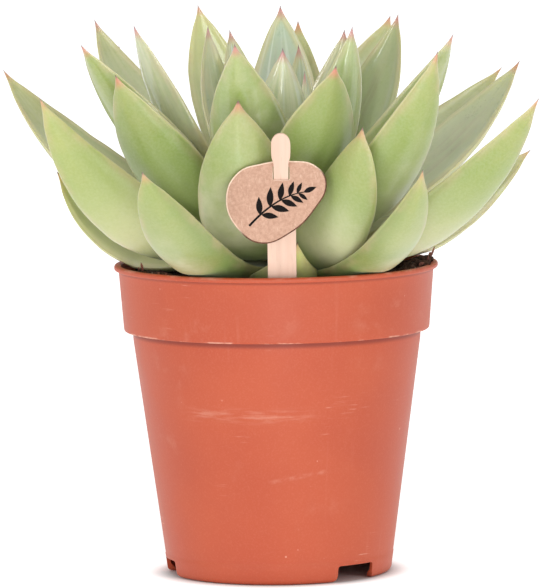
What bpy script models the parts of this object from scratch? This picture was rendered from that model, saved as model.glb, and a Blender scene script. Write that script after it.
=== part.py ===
"""Potted rosette succulent (Echeveria agavoides) in a 12 cm nursery pot, with a
wooden stick that carries a small kraft board tag.

Frame: metres, +Z up, origin under the middle of the pot on the surface it stands
on.  -Y is the side with the tag, +X is to the right of it.
"""
import math

import bmesh
import bpy
from mathutils import Vector

for old in list(bpy.data.objects):
    bpy.data.objects.remove(old, do_unlink=True)

MM = 0.001

# ------------------------------------------------------------------ dimensions
POT_HEIGHT = 115.0 * MM
LIP_RADIUS = 60.0 * MM            # bead around the top
LIP_HEIGHT = 1.8 * MM
COLLAR_TOP_RADIUS = 58.4 * MM     # wide band under the bead
COLLAR_LOW_RADIUS = 56.6 * MM
COLLAR_LOW_Z = 90.6 * MM
BODY_TOP_RADIUS = 53.3 * MM       # tapered body under the collar
BODY_TOP_Z = 87.6 * MM
FOOT_RADIUS = 41.6 * MM
FOOT_ROUND = 2.2 * MM
FOOT_FLAT = 1.2 * MM              # width of the face that the pot stands on
WALL = 1.0 * MM
FLOOR_UNDER = 6.5 * MM            # the floor is raised above the foot ring
FLOOR_THICK = 1.1 * MM
POT_STEPS = 48

NOTCH_WIDTH = 17.2 * MM           # gaps in the foot ring
NOTCH_HEIGHT = 6.2 * MM
NOTCH_AZIMUTHS = (42.5, 162.0, -78.0)
DRAIN_RADIUS = 3.6 * MM
DRAIN_CIRCLE = 31.0 * MM
DRAIN_COUNT = 6

GAP = 0.3 * MM                    # clearance between pieces that touch

SOIL_EDGE_Z = 110.4 * MM
SOIL_MID_Z = 111.4 * MM

STEM_AT = 115.8 * MM              # height of the oldest leaf's base
STEM_RADIUS = 12.0 * MM           # there
STEM_TAPER = 0.20                 # radius lost per unit of height
STEM_TOP = 144.5 * MM
DOME_RADIUS = 6.4 * MM            # of the rounded top, which the bud stands on
DOME_RISE = 3.2 * MM

STICK_LEAN = 15.0                 # degrees, top toward the front
STICK_AT = Vector((2.2, -54.8, 115.0)) * MM
STICK_WIDTH = 10.4 * MM
STICK_THICK = 1.0 * MM
STICK_BELOW = 58.0 * MM           # length pushed below the rim level
STICK_SHOULDER = 34.0 * MM
STICK_NECK_WIDTH = 5.5 * MM
STICK_HEAD_WIDTH = 7.0 * MM
STICK_TOP = 55.3 * MM

TAG_TILT = 5.0                    # degrees, lower edge toward the front
TAG_AT = Vector((0.0, -65.2, 153.8)) * MM
TAG_THICK = 0.5 * MM

# Leaves follow the golden angle around the stem, from rank -8, the oldest and
# lowest, to the bud.  Rank sets where a leaf sits on the stem.
GOLDEN_ANGLE = 137.5
FIRST_AZIMUTH = 20.0              # of rank 0, counted from the front to the right
LEAF_STEP_UP = 0.60 * MM          # rise of the base from one rank to the next
LEAF_STEP_IN = 0.12 * MM
LEAF_BASE_RADIUS = 13.0 * MM
LEAF_THICK = 8.0 * MM             # of a leaf 34 mm wide
LEAF_CUP = 0.10
LEAF_SECTIONS = (0.0, 0.13, 0.28, 0.43, 0.58, 0.73, 0.86, 0.95)
LEAF_POINTS = 10
BUD_RANK = 36                     # from here on the leaves stand on the stem's top
BUD_RADIUS = 6.4 * MM
BUD_STEP_IN = 0.75 * MM

# Each leaf: rank, degrees off the golden angle, mean rise in degrees, length and
# width in mm, curl in degrees from base to tip, twist in degrees, how far the tip
# swings sideways in mm, bend exponent (above 1 the base stays flat and the end curls
# up), share of the full width at the base, where the leaf is widest (share of the
# length), and fullness toward the tip.
LEAVES = (
    (-8, 9.5, 15.5, 46, 19, 22, 25, -1, 1.25, 0.34, 0.43, 2.1),
    (-7, 16, 21.5, 74, 28, 40, 6, 0, 1.25, 0.34, 0.43, 2.1),
    (-5, -12, 26, 105, 19.5, 61, 9, -21, 1.25, 0.24, 0.54, 2.4),
    (-4, 12.5, 28.5, 86, 31.5, 46, 5, 0, 1.25, 0.34, 0.43, 2.1),
    (-3, 5.5, 26, 107.5, 25, 63, -15, 0.5, 1.30, 0.37, 0.50, 2.4),
    (-2, 7.5, 21, 101.5, 31.5, 35, -35, 0.5, 1.20, 0.34, 0.42, 1.9),
    (-1, 13, 26, 79.5, 32.5, 50, 48, -0.5, 1.50, 0.34, 0.43, 2.1),
    (0, 2.5, 37.5, 90.5, 26, 62, 54, 0, 1.15, 0.16, 0.47, 2.6),
    (1, 4.5, 36, 107.5, 28, 54, 0, 0, 1.25, 0.34, 0.43, 2.1),
    (2, 12.5, 30.5, 119, 26, 65, -58, 2, 0.95, 0.24, 0.39, 2.0),
    (3, -16, 27.5, 122.5, 26.5, 69, 26, 4, 0.90, 0.30, 0.42, 2.2),
    (4, 0.5, 37.5, 105, 30.5, 52, 0, 0, 1.25, 0.34, 0.43, 2.1),
    (5, -1.5, 44.5, 86.5, 33, 88, -30, 3.5, 0.95, 0.34, 0.49, 2.5),
    (6, 3.5, 31, 115.5, 26, 16, -19, 0, 1.25, 0.34, 0.43, 2.1),
    (7, -3, 33.5, 113.5, 30, 48, 24, 0, 0.95, 0.34, 0.45, 2.3),
    (8, -5, 37.5, 121, 28.5, 63, 10, 1.5, 0.90, 0.32, 0.42, 2.2),
    (9, -5.5, 54.5, 104.5, 27, 79, -5, 0.5, 1.20, 0.34, 0.46, 2.3),
    (10, -2.5, 43, 94, 30, 45, -23, 0, 1.00, 0.40, 0.45, 2.3),
    (11, -1, 38, 104, 28.5, 44, -28, 0, 1.05, 0.34, 0.47, 2.5),
    (12, -7.5, 43, 103, 28, 48, -16, 0, 1.25, 0.34, 0.43, 2.1),
    (13, 8, 46, 92, 32, 25, -4, 2.5, 1.20, 0.30, 0.45, 2.2),
    (14, 4, 45, 105.5, 30.5, 23, -21, -0.5, 1.20, 0.32, 0.45, 2.2),
    (15, 17, 45.5, 100.5, 26.5, 22, -21, 1.5, 1.20, 0.32, 0.45, 2.3),
    (16, 2, 49.5, 97.5, 26, 34, 17, 0, 1.20, 0.34, 0.44, 2.2),
    (17, 1, 46, 108.5, 26.5, 22, 0, 1, 1.35, 0.34, 0.50, 2.2),
    (18, 12, 49.5, 92.5, 29.5, 12, -13, 2, 1.30, 0.32, 0.44, 2.0),
    (19, 9.5, 59.5, 87.5, 26, 32, -22, 1, 1.25, 0.32, 0.44, 2.1),
    (20, -5, 50.5, 98, 25, 37, 25, -0.5, 1.30, 0.34, 0.44, 2.2),
    (21, 5.5, 62, 85.5, 22, 36, 14, 0, 1.40, 0.34, 0.43, 2.1),
    (22, 8.5, 57, 89.5, 26.5, 27, -6, 4, 1.25, 0.34, 0.45, 2.2),
    (23, -5, 54, 87, 25.5, 35, 7, -0.5, 0.80, 0.34, 0.50, 2.6),
    (25, -1, 65.5, 75.5, 19, 45, -9, -1, 1.25, 0.32, 0.46, 2.2),
    (26, 10.5, 68, 67, 21.5, 30, -1, 0, 1.25, 0.34, 0.45, 2.2),
    (27, -0.5, 69.5, 69.5, 24, 35, -18, -0.5, 1.30, 0.34, 0.43, 2.0),
    (28, -16, 77, 47, 15, 24, 0, 0, 1.25, 0.34, 0.43, 2.1),
    (30, 15.5, 63, 69.5, 18.5, 22, -7, 2, 1.30, 0.34, 0.44, 2.2),
    (32, 25, 88, 56, 17.5, 21, -8, 0, 1.25, 0.34, 0.43, 2.1),
    (34, 58, 85.5, 45.5, 11, 9, -2, 0, 1.25, 0.34, 0.43, 2.1),
    (36, -10, 74, 32, 10, 26, 0, 0, 1.25, 0.34, 0.43, 2.1),
    (38, 0, 75, 27, 9, 26, 0, 0, 1.25, 0.34, 0.43, 2.1),
    (39, 0, 76, 25, 8, 26, 0, 0, 1.25, 0.34, 0.43, 2.1),
    (40, 0, 78, 22, 7, 22, 0, 0, 1.25, 0.34, 0.43, 2.1),
    (41, 0, 78, 20, 6, 22, 0, 0, 1.25, 0.34, 0.43, 2.1),
    (42, 0, 80, 17, 5, 16, 0, 0, 1.25, 0.34, 0.43, 2.1),
    (43, 0, 84, 14, 4, 10, 0, 0, 1.25, 0.34, 0.43, 2.1),
)


# ------------------------------------------------------------------- helpers
def collection(name):
    group = bpy.data.collections.new(name)
    bpy.context.scene.collection.children.link(group)
    return group


MODEL = collection("potted_echeveria")
CUTTERS = collection("cutters")


def material(name, rgb, roughness, metallic=0.0):
    mat = bpy.data.materials.new(name)
    mat.use_nodes = True
    shader = mat.node_tree.nodes["Principled BSDF"]
    shader.inputs["Base Color"].default_value = (*rgb, 1.0)
    shader.inputs["Roughness"].default_value = roughness
    shader.inputs["Metallic"].default_value = metallic
    mat.diffuse_color = (*rgb, 1.0)
    return mat


def add_object(name, data, mat=None, group=None):
    obj = bpy.data.objects.new(name, data)
    (group or MODEL).objects.link(obj)
    if mat is not None:
        data.materials.append(mat)
    return obj


def turned(name, profile, mat, steps=POT_STEPS, group=None):
    """A profile of (radius, height) turned around Z; it runs down its outer side."""
    bm = bmesh.new()
    points = [bm.verts.new((radius, 0.0, height)) for radius, height in profile]
    for first, second in zip(points, points[1:]):
        bm.edges.new((first, second))
    mesh = bpy.data.meshes.new(name)
    bm.to_mesh(mesh)
    bm.free()
    obj = add_object(name, mesh, mat, group)
    screw = obj.modifiers.new("turn", "SCREW")
    screw.axis = "Z"
    screw.angle = math.tau
    screw.steps = steps
    screw.render_steps = steps
    screw.use_merge_vertices = True
    screw.merge_threshold = 0.00001
    screw.use_smooth_shade = True
    return obj


def cutter(obj):
    obj.hide_render = True
    obj.display_type = "WIRE"
    return obj


def cut(obj, tool):
    boolean = obj.modifiers.new("cut_" + tool.name, "BOOLEAN")
    boolean.operation = "DIFFERENCE"
    boolean.object = tool
    boolean.solver = "EXACT"


def block(name, size, group):
    bm = bmesh.new()
    bmesh.ops.create_cube(bm, size=1.0)
    bmesh.ops.scale(bm, vec=size, verts=bm.verts)
    mesh = bpy.data.meshes.new(name)
    bm.to_mesh(mesh)
    bm.free()
    return add_object(name, mesh, None, group)


def flat_piece(name, splines, thickness, mat, location, tilt):
    """A flat outline in its own XY plane, extruded, stood up and made a mesh."""
    curve = bpy.data.curves.new(name + "_outline", "CURVE")
    curve.dimensions = "2D"
    curve.fill_mode = "BOTH"
    curve.extrude = thickness / 2
    curve.resolution_u = 6
    for kind, points in splines:
        spline = curve.splines.new(kind)
        if kind == "POLY":
            spline.points.add(len(points) - 1)
            for point, (x, y) in zip(spline.points, points):
                point.co = (x * MM, y * MM, 0.0, 1.0)
        else:
            spline.bezier_points.add(len(points) - 1)
            for point, (x, y) in zip(spline.bezier_points, points):
                point.co = (x * MM, y * MM, 0.0)
                point.handle_left_type = point.handle_right_type = "AUTO"
        spline.use_cyclic_u = True
    guide = add_object(name + "_guide", curve, None, CUTTERS)
    guide.location = location
    guide.rotation_euler = (math.radians(90.0 + tilt), 0.0, 0.0)
    bpy.context.view_layer.update()
    evaluated = guide.evaluated_get(bpy.context.evaluated_depsgraph_get())
    mesh = bpy.data.meshes.new_from_object(evaluated)
    bm = bmesh.new()
    bm.from_mesh(mesh)
    bmesh.ops.remove_doubles(bm, verts=bm.verts, dist=0.00001)
    bmesh.ops.recalc_face_normals(bm, faces=bm.faces)
    bm.to_mesh(mesh)
    bm.free()
    mesh.name = name
    mesh.materials.clear()
    obj = add_object(name, mesh, mat)
    obj.matrix_world = guide.matrix_world
    bpy.data.objects.remove(guide, do_unlink=True)
    return obj


# ----------------------------------------------------------------------- pot
def body_radius(z):
    share = (z - FOOT_ROUND) / (BODY_TOP_Z - FOOT_ROUND)
    return FOOT_RADIUS + share * (BODY_TOP_RADIUS - FOOT_RADIUS)


def collar_radius(z):
    share = (z - COLLAR_LOW_Z) / (POT_HEIGHT - LIP_HEIGHT - COLLAR_LOW_Z)
    return COLLAR_LOW_RADIUS + share * (COLLAR_TOP_RADIUS - COLLAR_LOW_RADIUS)


def make_pot():
    plastic = material("terracotta_plastic", (0.60, 0.13, 0.06), 0.45)
    floor = FLOOR_UNDER + FLOOR_THICK
    step_low = BODY_TOP_Z + 0.9 * MM
    step_high = COLLAR_LOW_Z + 0.9 * MM
    lip_low = POT_HEIGHT - LIP_HEIGHT
    profile = [
        (0.0, floor),
        (body_radius(floor) - WALL - 1.2 * MM, floor),
        (body_radius(floor + 1.2 * MM) - WALL, floor + 1.2 * MM),
        (body_radius(step_low) - WALL, step_low),
        (collar_radius(step_high) - WALL, step_high),
        (collar_radius(lip_low) - WALL, POT_HEIGHT - 0.4 * MM),
        (collar_radius(lip_low) - WALL + 0.4 * MM, POT_HEIGHT),
        (LIP_RADIUS - 0.5 * MM, POT_HEIGHT),
        (LIP_RADIUS, POT_HEIGHT - 0.5 * MM),
        (LIP_RADIUS, lip_low + 0.4 * MM),
        (LIP_RADIUS - 0.4 * MM, lip_low),
        (COLLAR_TOP_RADIUS, lip_low - 0.1 * MM),
        (COLLAR_LOW_RADIUS, COLLAR_LOW_Z),
        (COLLAR_LOW_RADIUS - 0.6 * MM, COLLAR_LOW_Z - 0.9 * MM),
        (BODY_TOP_RADIUS + 0.3 * MM, BODY_TOP_Z + 0.6 * MM),
        (BODY_TOP_RADIUS, BODY_TOP_Z),
        (FOOT_RADIUS, FOOT_ROUND),
    ]
    for degrees in (30.0, 60.0, 90.0):
        turn = math.radians(degrees)
        profile.append((FOOT_RADIUS - FOOT_ROUND * (1.0 - math.cos(turn)),
                        FOOT_ROUND * (1.0 - math.sin(turn))))
    profile.append((FOOT_RADIUS - FOOT_ROUND - FOOT_FLAT, 0.0))
    profile.append((FOOT_RADIUS - FOOT_ROUND - FOOT_FLAT, 0.6 * MM))
    profile.append((FOOT_RADIUS - WALL - 0.3 * MM, FOOT_ROUND + 0.8 * MM))
    profile.append((body_radius(FLOOR_UNDER - 0.8 * MM) - WALL, FLOOR_UNDER - 0.8 * MM))
    profile.append((body_radius(FLOOR_UNDER) - WALL - 0.8 * MM, FLOOR_UNDER))
    profile.append((0.0, FLOOR_UNDER))
    pot = turned("pot", profile, plastic)

    for number, azimuth in enumerate(NOTCH_AZIMUTHS):
        notch = block("notch_cutter_%d" % number,
                      (NOTCH_WIDTH, 12.0 * MM, 2.0 * NOTCH_HEIGHT), CUTTERS)
        turn = math.radians(azimuth)
        reach = FOOT_RADIUS - 1.0 * MM
        notch.location = (reach * math.sin(turn), -reach * math.cos(turn), 0.0)
        notch.rotation_euler = (0.0, 0.0, turn)
        round_off = notch.modifiers.new("round", "BEVEL")
        round_off.width = 1.6 * MM
        round_off.segments = 2
        cut(pot, cutter(notch))
    for number in range(DRAIN_COUNT):
        bm = bmesh.new()
        bmesh.ops.create_cone(bm, cap_ends=True, segments=12, radius1=DRAIN_RADIUS,
                              radius2=DRAIN_RADIUS, depth=6.0 * MM)
        mesh = bpy.data.meshes.new("drain")
        bm.to_mesh(mesh)
        bm.free()
        drain = add_object("drain_cutter_%d" % number, mesh, None, CUTTERS)
        turn = math.tau * (number + 0.5) / DRAIN_COUNT
        drain.location = (DRAIN_CIRCLE * math.sin(turn), -DRAIN_CIRCLE * math.cos(turn),
                          FLOOR_UNDER + FLOOR_THICK / 2)
        cut(pot, cutter(drain))
    return pot


# ---------------------------------------------------------------------- soil
def stem_radius(z):
    return STEM_RADIUS - STEM_TAPER * (z - STEM_AT)


def dome_height(r):
    """Height of the stem's rounded top at the radius r."""
    return STEM_TOP - DOME_RISE * (r / DOME_RADIUS) ** 2


def stem_profile(grow, top):
    """The stem's outline from its top to its buried foot, larger by grow."""
    points = []
    if top:
        points += [(r, dome_height(r)) for r in (0.0, 1.6 * MM, 3.2 * MM, 4.8 * MM, DOME_RADIUS)]
    else:
        points += [(0.0, SOIL_MID_Z + 12.0 * MM), (STEM_RADIUS + grow, SOIL_MID_Z + 12.0 * MM)]
    points += [(stem_radius(STEM_AT + 24.0 * MM) + grow, STEM_AT + 24.0 * MM)] if top else []
    points += [(STEM_RADIUS + grow, STEM_AT), (STEM_RADIUS - 0.4 * MM + grow, 104.0 * MM),
               (8.0 * MM + grow, 97.0 * MM), (3.0 * MM + grow, 93.5 * MM - grow),
               (0.0, 93.5 * MM - grow)]
    return points


def make_soil():
    peat = material("peat_soil", (0.035, 0.018, 0.012), 0.95)
    floor = FLOOR_UNDER + FLOOR_THICK + GAP
    step_low = BODY_TOP_Z + 0.9 * MM - 0.3 * MM
    step_high = COLLAR_LOW_Z + 0.9 * MM + 0.2 * MM
    side = WALL + GAP
    profile = [
        (0.0, SOIL_MID_Z),
        (30.0 * MM, SOIL_MID_Z - 0.3 * MM),
        (50.0 * MM, SOIL_EDGE_Z + 0.2 * MM),
        (collar_radius(SOIL_EDGE_Z) - side, SOIL_EDGE_Z),
        (collar_radius(step_high) - side - 0.3 * MM, step_high),
        (body_radius(step_low) - side - 0.3 * MM, step_low),
        (body_radius(floor + 1.6 * MM) - side - 0.2 * MM, floor + 1.6 * MM),
        (body_radius(floor) - side - 1.8 * MM, floor),
        (0.0, floor),
    ]
    soil = turned("soil", profile, peat)
    socket = cutter(turned("stem_socket_cutter", stem_profile(GAP, False), None, 24, CUTTERS))
    cut(soil, socket)
    slot = block("stick_slot_cutter", (STICK_WIDTH + 2 * GAP, 2 * (STICK_BELOW + GAP),
                                       STICK_THICK + 2 * GAP), CUTTERS)
    slot.location = STICK_AT
    slot.rotation_euler = (math.radians(90.0 + STICK_LEAN), 0.0, 0.0)
    cut(soil, cutter(slot))
    return soil


def make_stem():
    bark = material("stem_green", (0.30, 0.34, 0.14), 0.6)
    return turned("stem", stem_profile(0.0, True), bark, steps=24)


# ----------------------------------------------------------------- tag and stick
def make_stick():
    birch = material("birch_wood", (0.82, 0.62, 0.47), 0.6)
    half = STICK_WIDTH / 2 / MM
    neck = STICK_NECK_WIDTH / 2 / MM
    head = STICK_HEAD_WIDTH / 2 / MM
    top = STICK_TOP / MM
    right = [(half - 1.2, -STICK_BELOW / MM), (half, -STICK_BELOW / MM + 1.2),
             (half, STICK_SHOULDER / MM - 1.4), (half - 0.5, STICK_SHOULDER / MM - 0.5),
             (neck + 0.3, STICK_SHOULDER / MM + 0.2), (neck, STICK_SHOULDER / MM + 1.2),
             (neck, 44.0), (head, 46.4), (head, top - 3.9)]
    for degrees in (25.0, 50.0, 75.0):
        turn = math.radians(degrees)
        right.append((head * math.cos(turn), top - 3.9 + 3.9 * math.sin(turn)))
    outline = right + [(-x, y) for x, y in reversed(right)]
    return flat_piece("tag_stick", [("POLY", outline)], STICK_THICK, birch,
                      STICK_AT, STICK_LEAN)


def make_tag():
    board = material("kraft_board", (0.62, 0.40, 0.27), 0.8)
    edge = [(-17.7, -9.5), (-13.5, 0.0), (-4.5, 3.3), (6.0, 4.1), (14.5, 2.4), (18.5, -3.5),
            (14.0, -13.4), (5.0, -21.8), (-5.5, -25.3), (-13.5, -20.1)]
    slot = STICK_NECK_WIDTH / 2 / MM + 0.35
    middle = STICK_AT.x / MM
    hole = [(middle - slot, -3.2), (middle + slot, -3.2), (middle + slot, 3.0),
            (middle - slot, 3.0)]
    return flat_piece("tag_badge", [("BEZIER", edge), ("POLY", hole)], TAG_THICK, board,
                      TAG_AT, -TAG_TILT)


# -------------------------------------------------------------------- leaves
def leaf_width(s, base, widest, fullness):
    """Share of the full width at the share s of the length."""
    if s < widest:
        rise = math.sin(math.pi / 2 * s / widest) ** 1.15
        return base + (1.0 - base) * rise
    toward_tip = (s - widest) / (1.0 - widest)
    return max(0.0, 1.0 - toward_tip ** fullness) ** 1.12


def leaf_thickness(s):
    if s < 0.36:
        return 0.42 + 0.58 * math.sin(math.pi / 2 * s / 0.36)
    return 1.0 - ((s - 0.36) / 0.64) ** 1.8


def leaf_mesh(name, length, width, rise, curl, twist, swing, exponent, base, widest, fullness):
    """Loft of a fleshy leaf: flat above, keeled below, bent up along an arc.

    The base is at the object's origin and the leaf grows toward -Y.
    """
    start = math.radians(rise - curl / 2)
    bend = math.radians(curl)
    thick = LEAF_THICK * (width / (34.0 * MM)) ** 0.8
    fine = 60
    track = [(0.0, 0.0)]
    for step in range(fine):
        angle = start + bend * ((step + 0.5) / fine) ** exponent
        out, up = track[-1]
        track.append((out + math.cos(angle) * length / fine, up + math.sin(angle) * length / fine))

    bm = bmesh.new()
    rings = []
    for s in LEAF_SECTIONS:
        low = min(int(s * fine), fine - 1)
        part = s * fine - low
        out = track[low][0] * (1 - part) + track[low + 1][0] * part
        up = track[low][1] * (1 - part) + track[low + 1][1] * part
        angle = start + bend * s ** exponent
        middle = Vector((swing * s * s, -out, up))
        side = Vector((1.0, 0.0, 0.0))
        face = Vector((0.0, math.sin(angle), math.cos(angle)))
        turn = math.radians(twist) * min(1.0, 2.2 * s)
        across = side * math.cos(turn) - face * math.sin(turn)
        above = face * math.cos(turn) + side * math.sin(turn)
        half = leaf_width(s, base, widest, fullness) * width / 2
        depth = min(leaf_thickness(s) * thick, half * 1.25 + 0.2 * MM)
        ring = []
        for number in range(LEAF_POINTS):
            around = math.tau * number / LEAF_POINTS
            flat, rise_share = math.cos(around), math.sin(around)
            if rise_share > 1e-6:
                height = 0.14 * depth * rise_share ** 1.2
            else:
                height = -0.86 * depth * abs(rise_share) ** 0.95
            height += LEAF_CUP * half * flat * flat
            ring.append(bm.verts.new(middle + across * (half * flat) + above * height))
        rings.append(ring)
    tip = bm.verts.new(Vector((swing, -track[-1][0], track[-1][1])))
    count = LEAF_POINTS
    for low_ring, high_ring in zip(rings, rings[1:]):
        for i in range(count):
            j = (i + 1) % count
            bm.faces.new((low_ring[i], low_ring[j], high_ring[j], high_ring[i]))
    for i in range(count):
        bm.faces.new((rings[-1][i], rings[-1][(i + 1) % count], tip))
    bm.faces.new(list(reversed(rings[0])))
    bmesh.ops.recalc_face_normals(bm, faces=bm.faces)
    bmesh.ops.triangulate(bm, faces=bm.faces)
    mesh = bpy.data.meshes.new(name)
    bm.to_mesh(mesh)
    bm.free()
    mesh.shade_smooth()
    return mesh


def make_leaves(axis):
    oldest = LEAVES[0][0]
    youngest = LEAVES[-1][0]
    for number, row in enumerate(LEAVES):
        rank, nudge, rise, length, width, curl, twist, swing = row[:8]
        young = (rank - oldest) / (youngest - oldest)
        green = material("leaf_green_%02d" % (number + 1),
                         (0.42 - 0.12 * young, 0.50 - 0.06 * young, 0.22 + 0.04 * young), 0.5)
        mesh = leaf_mesh("leaf_%02d" % (number + 1), length * MM, width * MM, rise, curl,
                         twist, swing * MM, *row[8:])
        leaf = add_object("leaf_%02d" % (number + 1), mesh, green)
        azimuth = math.radians(FIRST_AZIMUTH + GOLDEN_ANGLE * rank + nudge)
        place = rank - oldest
        reach = LEAF_BASE_RADIUS - LEAF_STEP_IN * place
        height = STEM_AT + LEAF_STEP_UP * place
        if rank >= BUD_RANK:
            reach = BUD_RADIUS - BUD_STEP_IN * (rank - BUD_RANK)
            height = dome_height(max(0.0, reach - 0.6 * MM)) + GAP
        leaf.location = (reach * math.sin(azimuth), -reach * math.cos(azimuth), height)
        leaf.rotation_euler = (0.0, 0.0, azimuth)
        leaf.parent = axis


def main():
    axis = bpy.data.objects.new("plant_axis", None)
    MODEL.objects.link(axis)
    make_pot()
    make_soil()
    make_stem()
    make_stick()
    make_tag()
    make_leaves(axis)
    CUTTERS.hide_render = True


main()
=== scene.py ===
"""Looks of a potted rosette succulent: fleshy leaves, moulded pot, peat, birch stick
and kraft card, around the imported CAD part.  Metres, +Z up, -Y toward the tag.
"""

import math

import bmesh
import bpy
import numpy as np
from mathutils import Matrix, Vector


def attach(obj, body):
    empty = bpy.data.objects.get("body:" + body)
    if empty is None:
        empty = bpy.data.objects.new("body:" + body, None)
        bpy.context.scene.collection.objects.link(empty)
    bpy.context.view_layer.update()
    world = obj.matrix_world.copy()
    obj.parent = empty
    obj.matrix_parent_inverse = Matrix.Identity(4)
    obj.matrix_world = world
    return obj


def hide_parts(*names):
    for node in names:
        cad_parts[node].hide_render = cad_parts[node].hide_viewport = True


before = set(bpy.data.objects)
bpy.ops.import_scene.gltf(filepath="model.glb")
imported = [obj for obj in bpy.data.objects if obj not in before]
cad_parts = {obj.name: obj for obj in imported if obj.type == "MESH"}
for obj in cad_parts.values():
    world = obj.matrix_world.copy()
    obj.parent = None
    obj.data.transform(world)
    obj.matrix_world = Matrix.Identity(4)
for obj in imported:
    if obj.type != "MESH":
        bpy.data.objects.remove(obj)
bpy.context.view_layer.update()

MM = 0.001
rng = np.random.RandomState(7)


# =============================================================== small helpers
def srgb(r, g, b):
    """8-bit display colour to scene-linear."""
    out = []
    for c in (r, g, b):
        c = c / 255.0
        out.append(c / 12.92 if c <= 0.04045 else ((c + 0.055) / 1.055) ** 2.4)
    return (*out, 1.0)


def smooth(x, low, high):
    t = np.clip((x - low) / (high - low), 0.0, 1.0)
    return t * t * (3.0 - 2.0 * t)


def link_object(name, mesh, mats=()):
    obj = bpy.data.objects.new(name, mesh)
    bpy.context.scene.collection.objects.link(obj)
    for mat in mats:
        mesh.materials.append(mat)
    return obj


def mesh_from(name, verts, faces, smooth_shade=True):
    mesh = bpy.data.meshes.new(name)
    mesh.from_pydata([tuple(v) for v in verts], [], [tuple(f) for f in faces])
    mesh.validate()
    mesh.update()
    if smooth_shade:
        mesh.shade_smooth()
    return mesh


def put_attribute(mesh, name, values):
    layer = mesh.attributes.new(name, "FLOAT", "POINT")
    layer.data.foreach_set("value", np.asarray(values, np.float32).ravel())


def wobble(p, seed, scale):
    """Smooth deterministic noise of about -1..1 at the points p (n, 3)."""
    r = np.random.RandomState(seed)
    total = np.zeros(len(p))
    for _ in range(7):
        k = r.normal(size=3)
        k = k / np.linalg.norm(k) * r.uniform(0.6, 1.7) * 2.0 * math.pi / scale
        total += np.sin(p @ k + r.uniform(0, 2 * math.pi))
    return total / 3.2


def evaluated_copy(obj, name):
    bpy.context.view_layer.update()
    mesh = bpy.data.meshes.new_from_object(
        obj.evaluated_get(bpy.context.evaluated_depsgraph_get()))
    mesh.name = name
    mesh.transform(obj.matrix_world)
    return mesh


def drop(*objs):
    for o in objs:
        bpy.data.objects.remove(o, do_unlink=True)


class Nodes:
    """A thin writer for shader node trees."""

    def __init__(self, name):
        self.mat = bpy.data.materials.new(name)
        self.mat.use_nodes = True
        self.tree = self.mat.node_tree
        self.tree.nodes.clear()
        self.out = self.tree.nodes.new("ShaderNodeOutputMaterial")
        self.bsdf = self.tree.nodes.new("ShaderNodeBsdfPrincipled")
        self.link(self.bsdf.outputs[0], self.out.inputs[0])
        self.coord = self.tree.nodes.new("ShaderNodeTexCoord").outputs["Object"]

    def link(self, a, b):
        self.tree.links.new(a, b)

    def _put(self, socket, value):
        if isinstance(value, bpy.types.NodeSocket):
            self.link(value, socket)
        else:
            socket.default_value = value

    def set(self, **values):
        for key, value in values.items():
            self._put(self.bsdf.inputs[key.replace("_", " ")], value)

    def attr(self, name):
        n = self.tree.nodes.new("ShaderNodeAttribute")
        n.attribute_name = name
        return n.outputs["Fac"]

    def math(self, op, a, b=0.0, c=0.0, clamp=False):
        n = self.tree.nodes.new("ShaderNodeMath")
        n.operation = op
        n.use_clamp = clamp
        for socket, value in zip(n.inputs, (a, b, c)):
            self._put(socket, value)
        return n.outputs[0]

    def step(self, x, low, high, to_low=0.0, to_high=1.0, kind="SMOOTHSTEP"):
        n = self.tree.nodes.new("ShaderNodeMapRange")
        n.interpolation_type = kind
        for key, value in (("Value", x), ("From Min", low), ("From Max", high),
                           ("To Min", to_low), ("To Max", to_high)):
            self._put(n.inputs[key], value)
        return n.outputs["Result"]

    def mix(self, fac, a, b, blend="MIX"):
        n = self.tree.nodes.new("ShaderNodeMix")
        n.data_type = "RGBA"
        n.blend_type = blend
        n.clamp_factor = True
        self._put(n.inputs["Factor"], fac)
        self._put(n.inputs[6], a)
        self._put(n.inputs[7], b)
        return n.outputs[2]

    def noise(self, scale, detail=3.0, rough=0.55, coord=None, distortion=0.0, out="Fac"):
        n = self.tree.nodes.new("ShaderNodeTexNoise")
        self.link(coord if coord is not None else self.coord, n.inputs["Vector"])
        n.inputs["Scale"].default_value = scale
        n.inputs["Detail"].default_value = detail
        n.inputs["Roughness"].default_value = rough
        n.inputs["Distortion"].default_value = distortion
        return n.outputs[out]

    def voronoi(self, scale, coord=None, feature="F1", out="Distance", randomness=1.0):
        n = self.tree.nodes.new("ShaderNodeTexVoronoi")
        n.feature = feature
        self.link(coord if coord is not None else self.coord, n.inputs["Vector"])
        n.inputs["Scale"].default_value = scale
        n.inputs["Randomness"].default_value = randomness
        return n.outputs[out]

    def scaled(self, x, y, z, coord=None, rotate=(0, 0, 0), move=(0, 0, 0)):
        n = self.tree.nodes.new("ShaderNodeMapping")
        self.link(coord if coord is not None else self.coord, n.inputs["Vector"])
        n.inputs["Scale"].default_value = (x, y, z)
        n.inputs["Rotation"].default_value = rotate
        n.inputs["Location"].default_value = move
        return n.outputs[0]

    def split(self, vector):
        n = self.tree.nodes.new("ShaderNodeSeparateXYZ")
        self.link(vector, n.inputs[0])
        return n.outputs

    def join(self, x, y, z):
        n = self.tree.nodes.new("ShaderNodeCombineXYZ")
        for socket, value in zip(n.inputs, (x, y, z)):
            self._put(socket, value)
        return n.outputs[0]

    def bump(self, height, strength=0.3, distance=0.0003, normal=None):
        n = self.tree.nodes.new("ShaderNodeBump")
        n.inputs["Strength"].default_value = strength
        n.inputs["Distance"].default_value = distance
        self.link(height, n.inputs["Height"])
        if normal is not None:
            self.link(normal, n.inputs["Normal"])
        return n.outputs[0]


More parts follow.
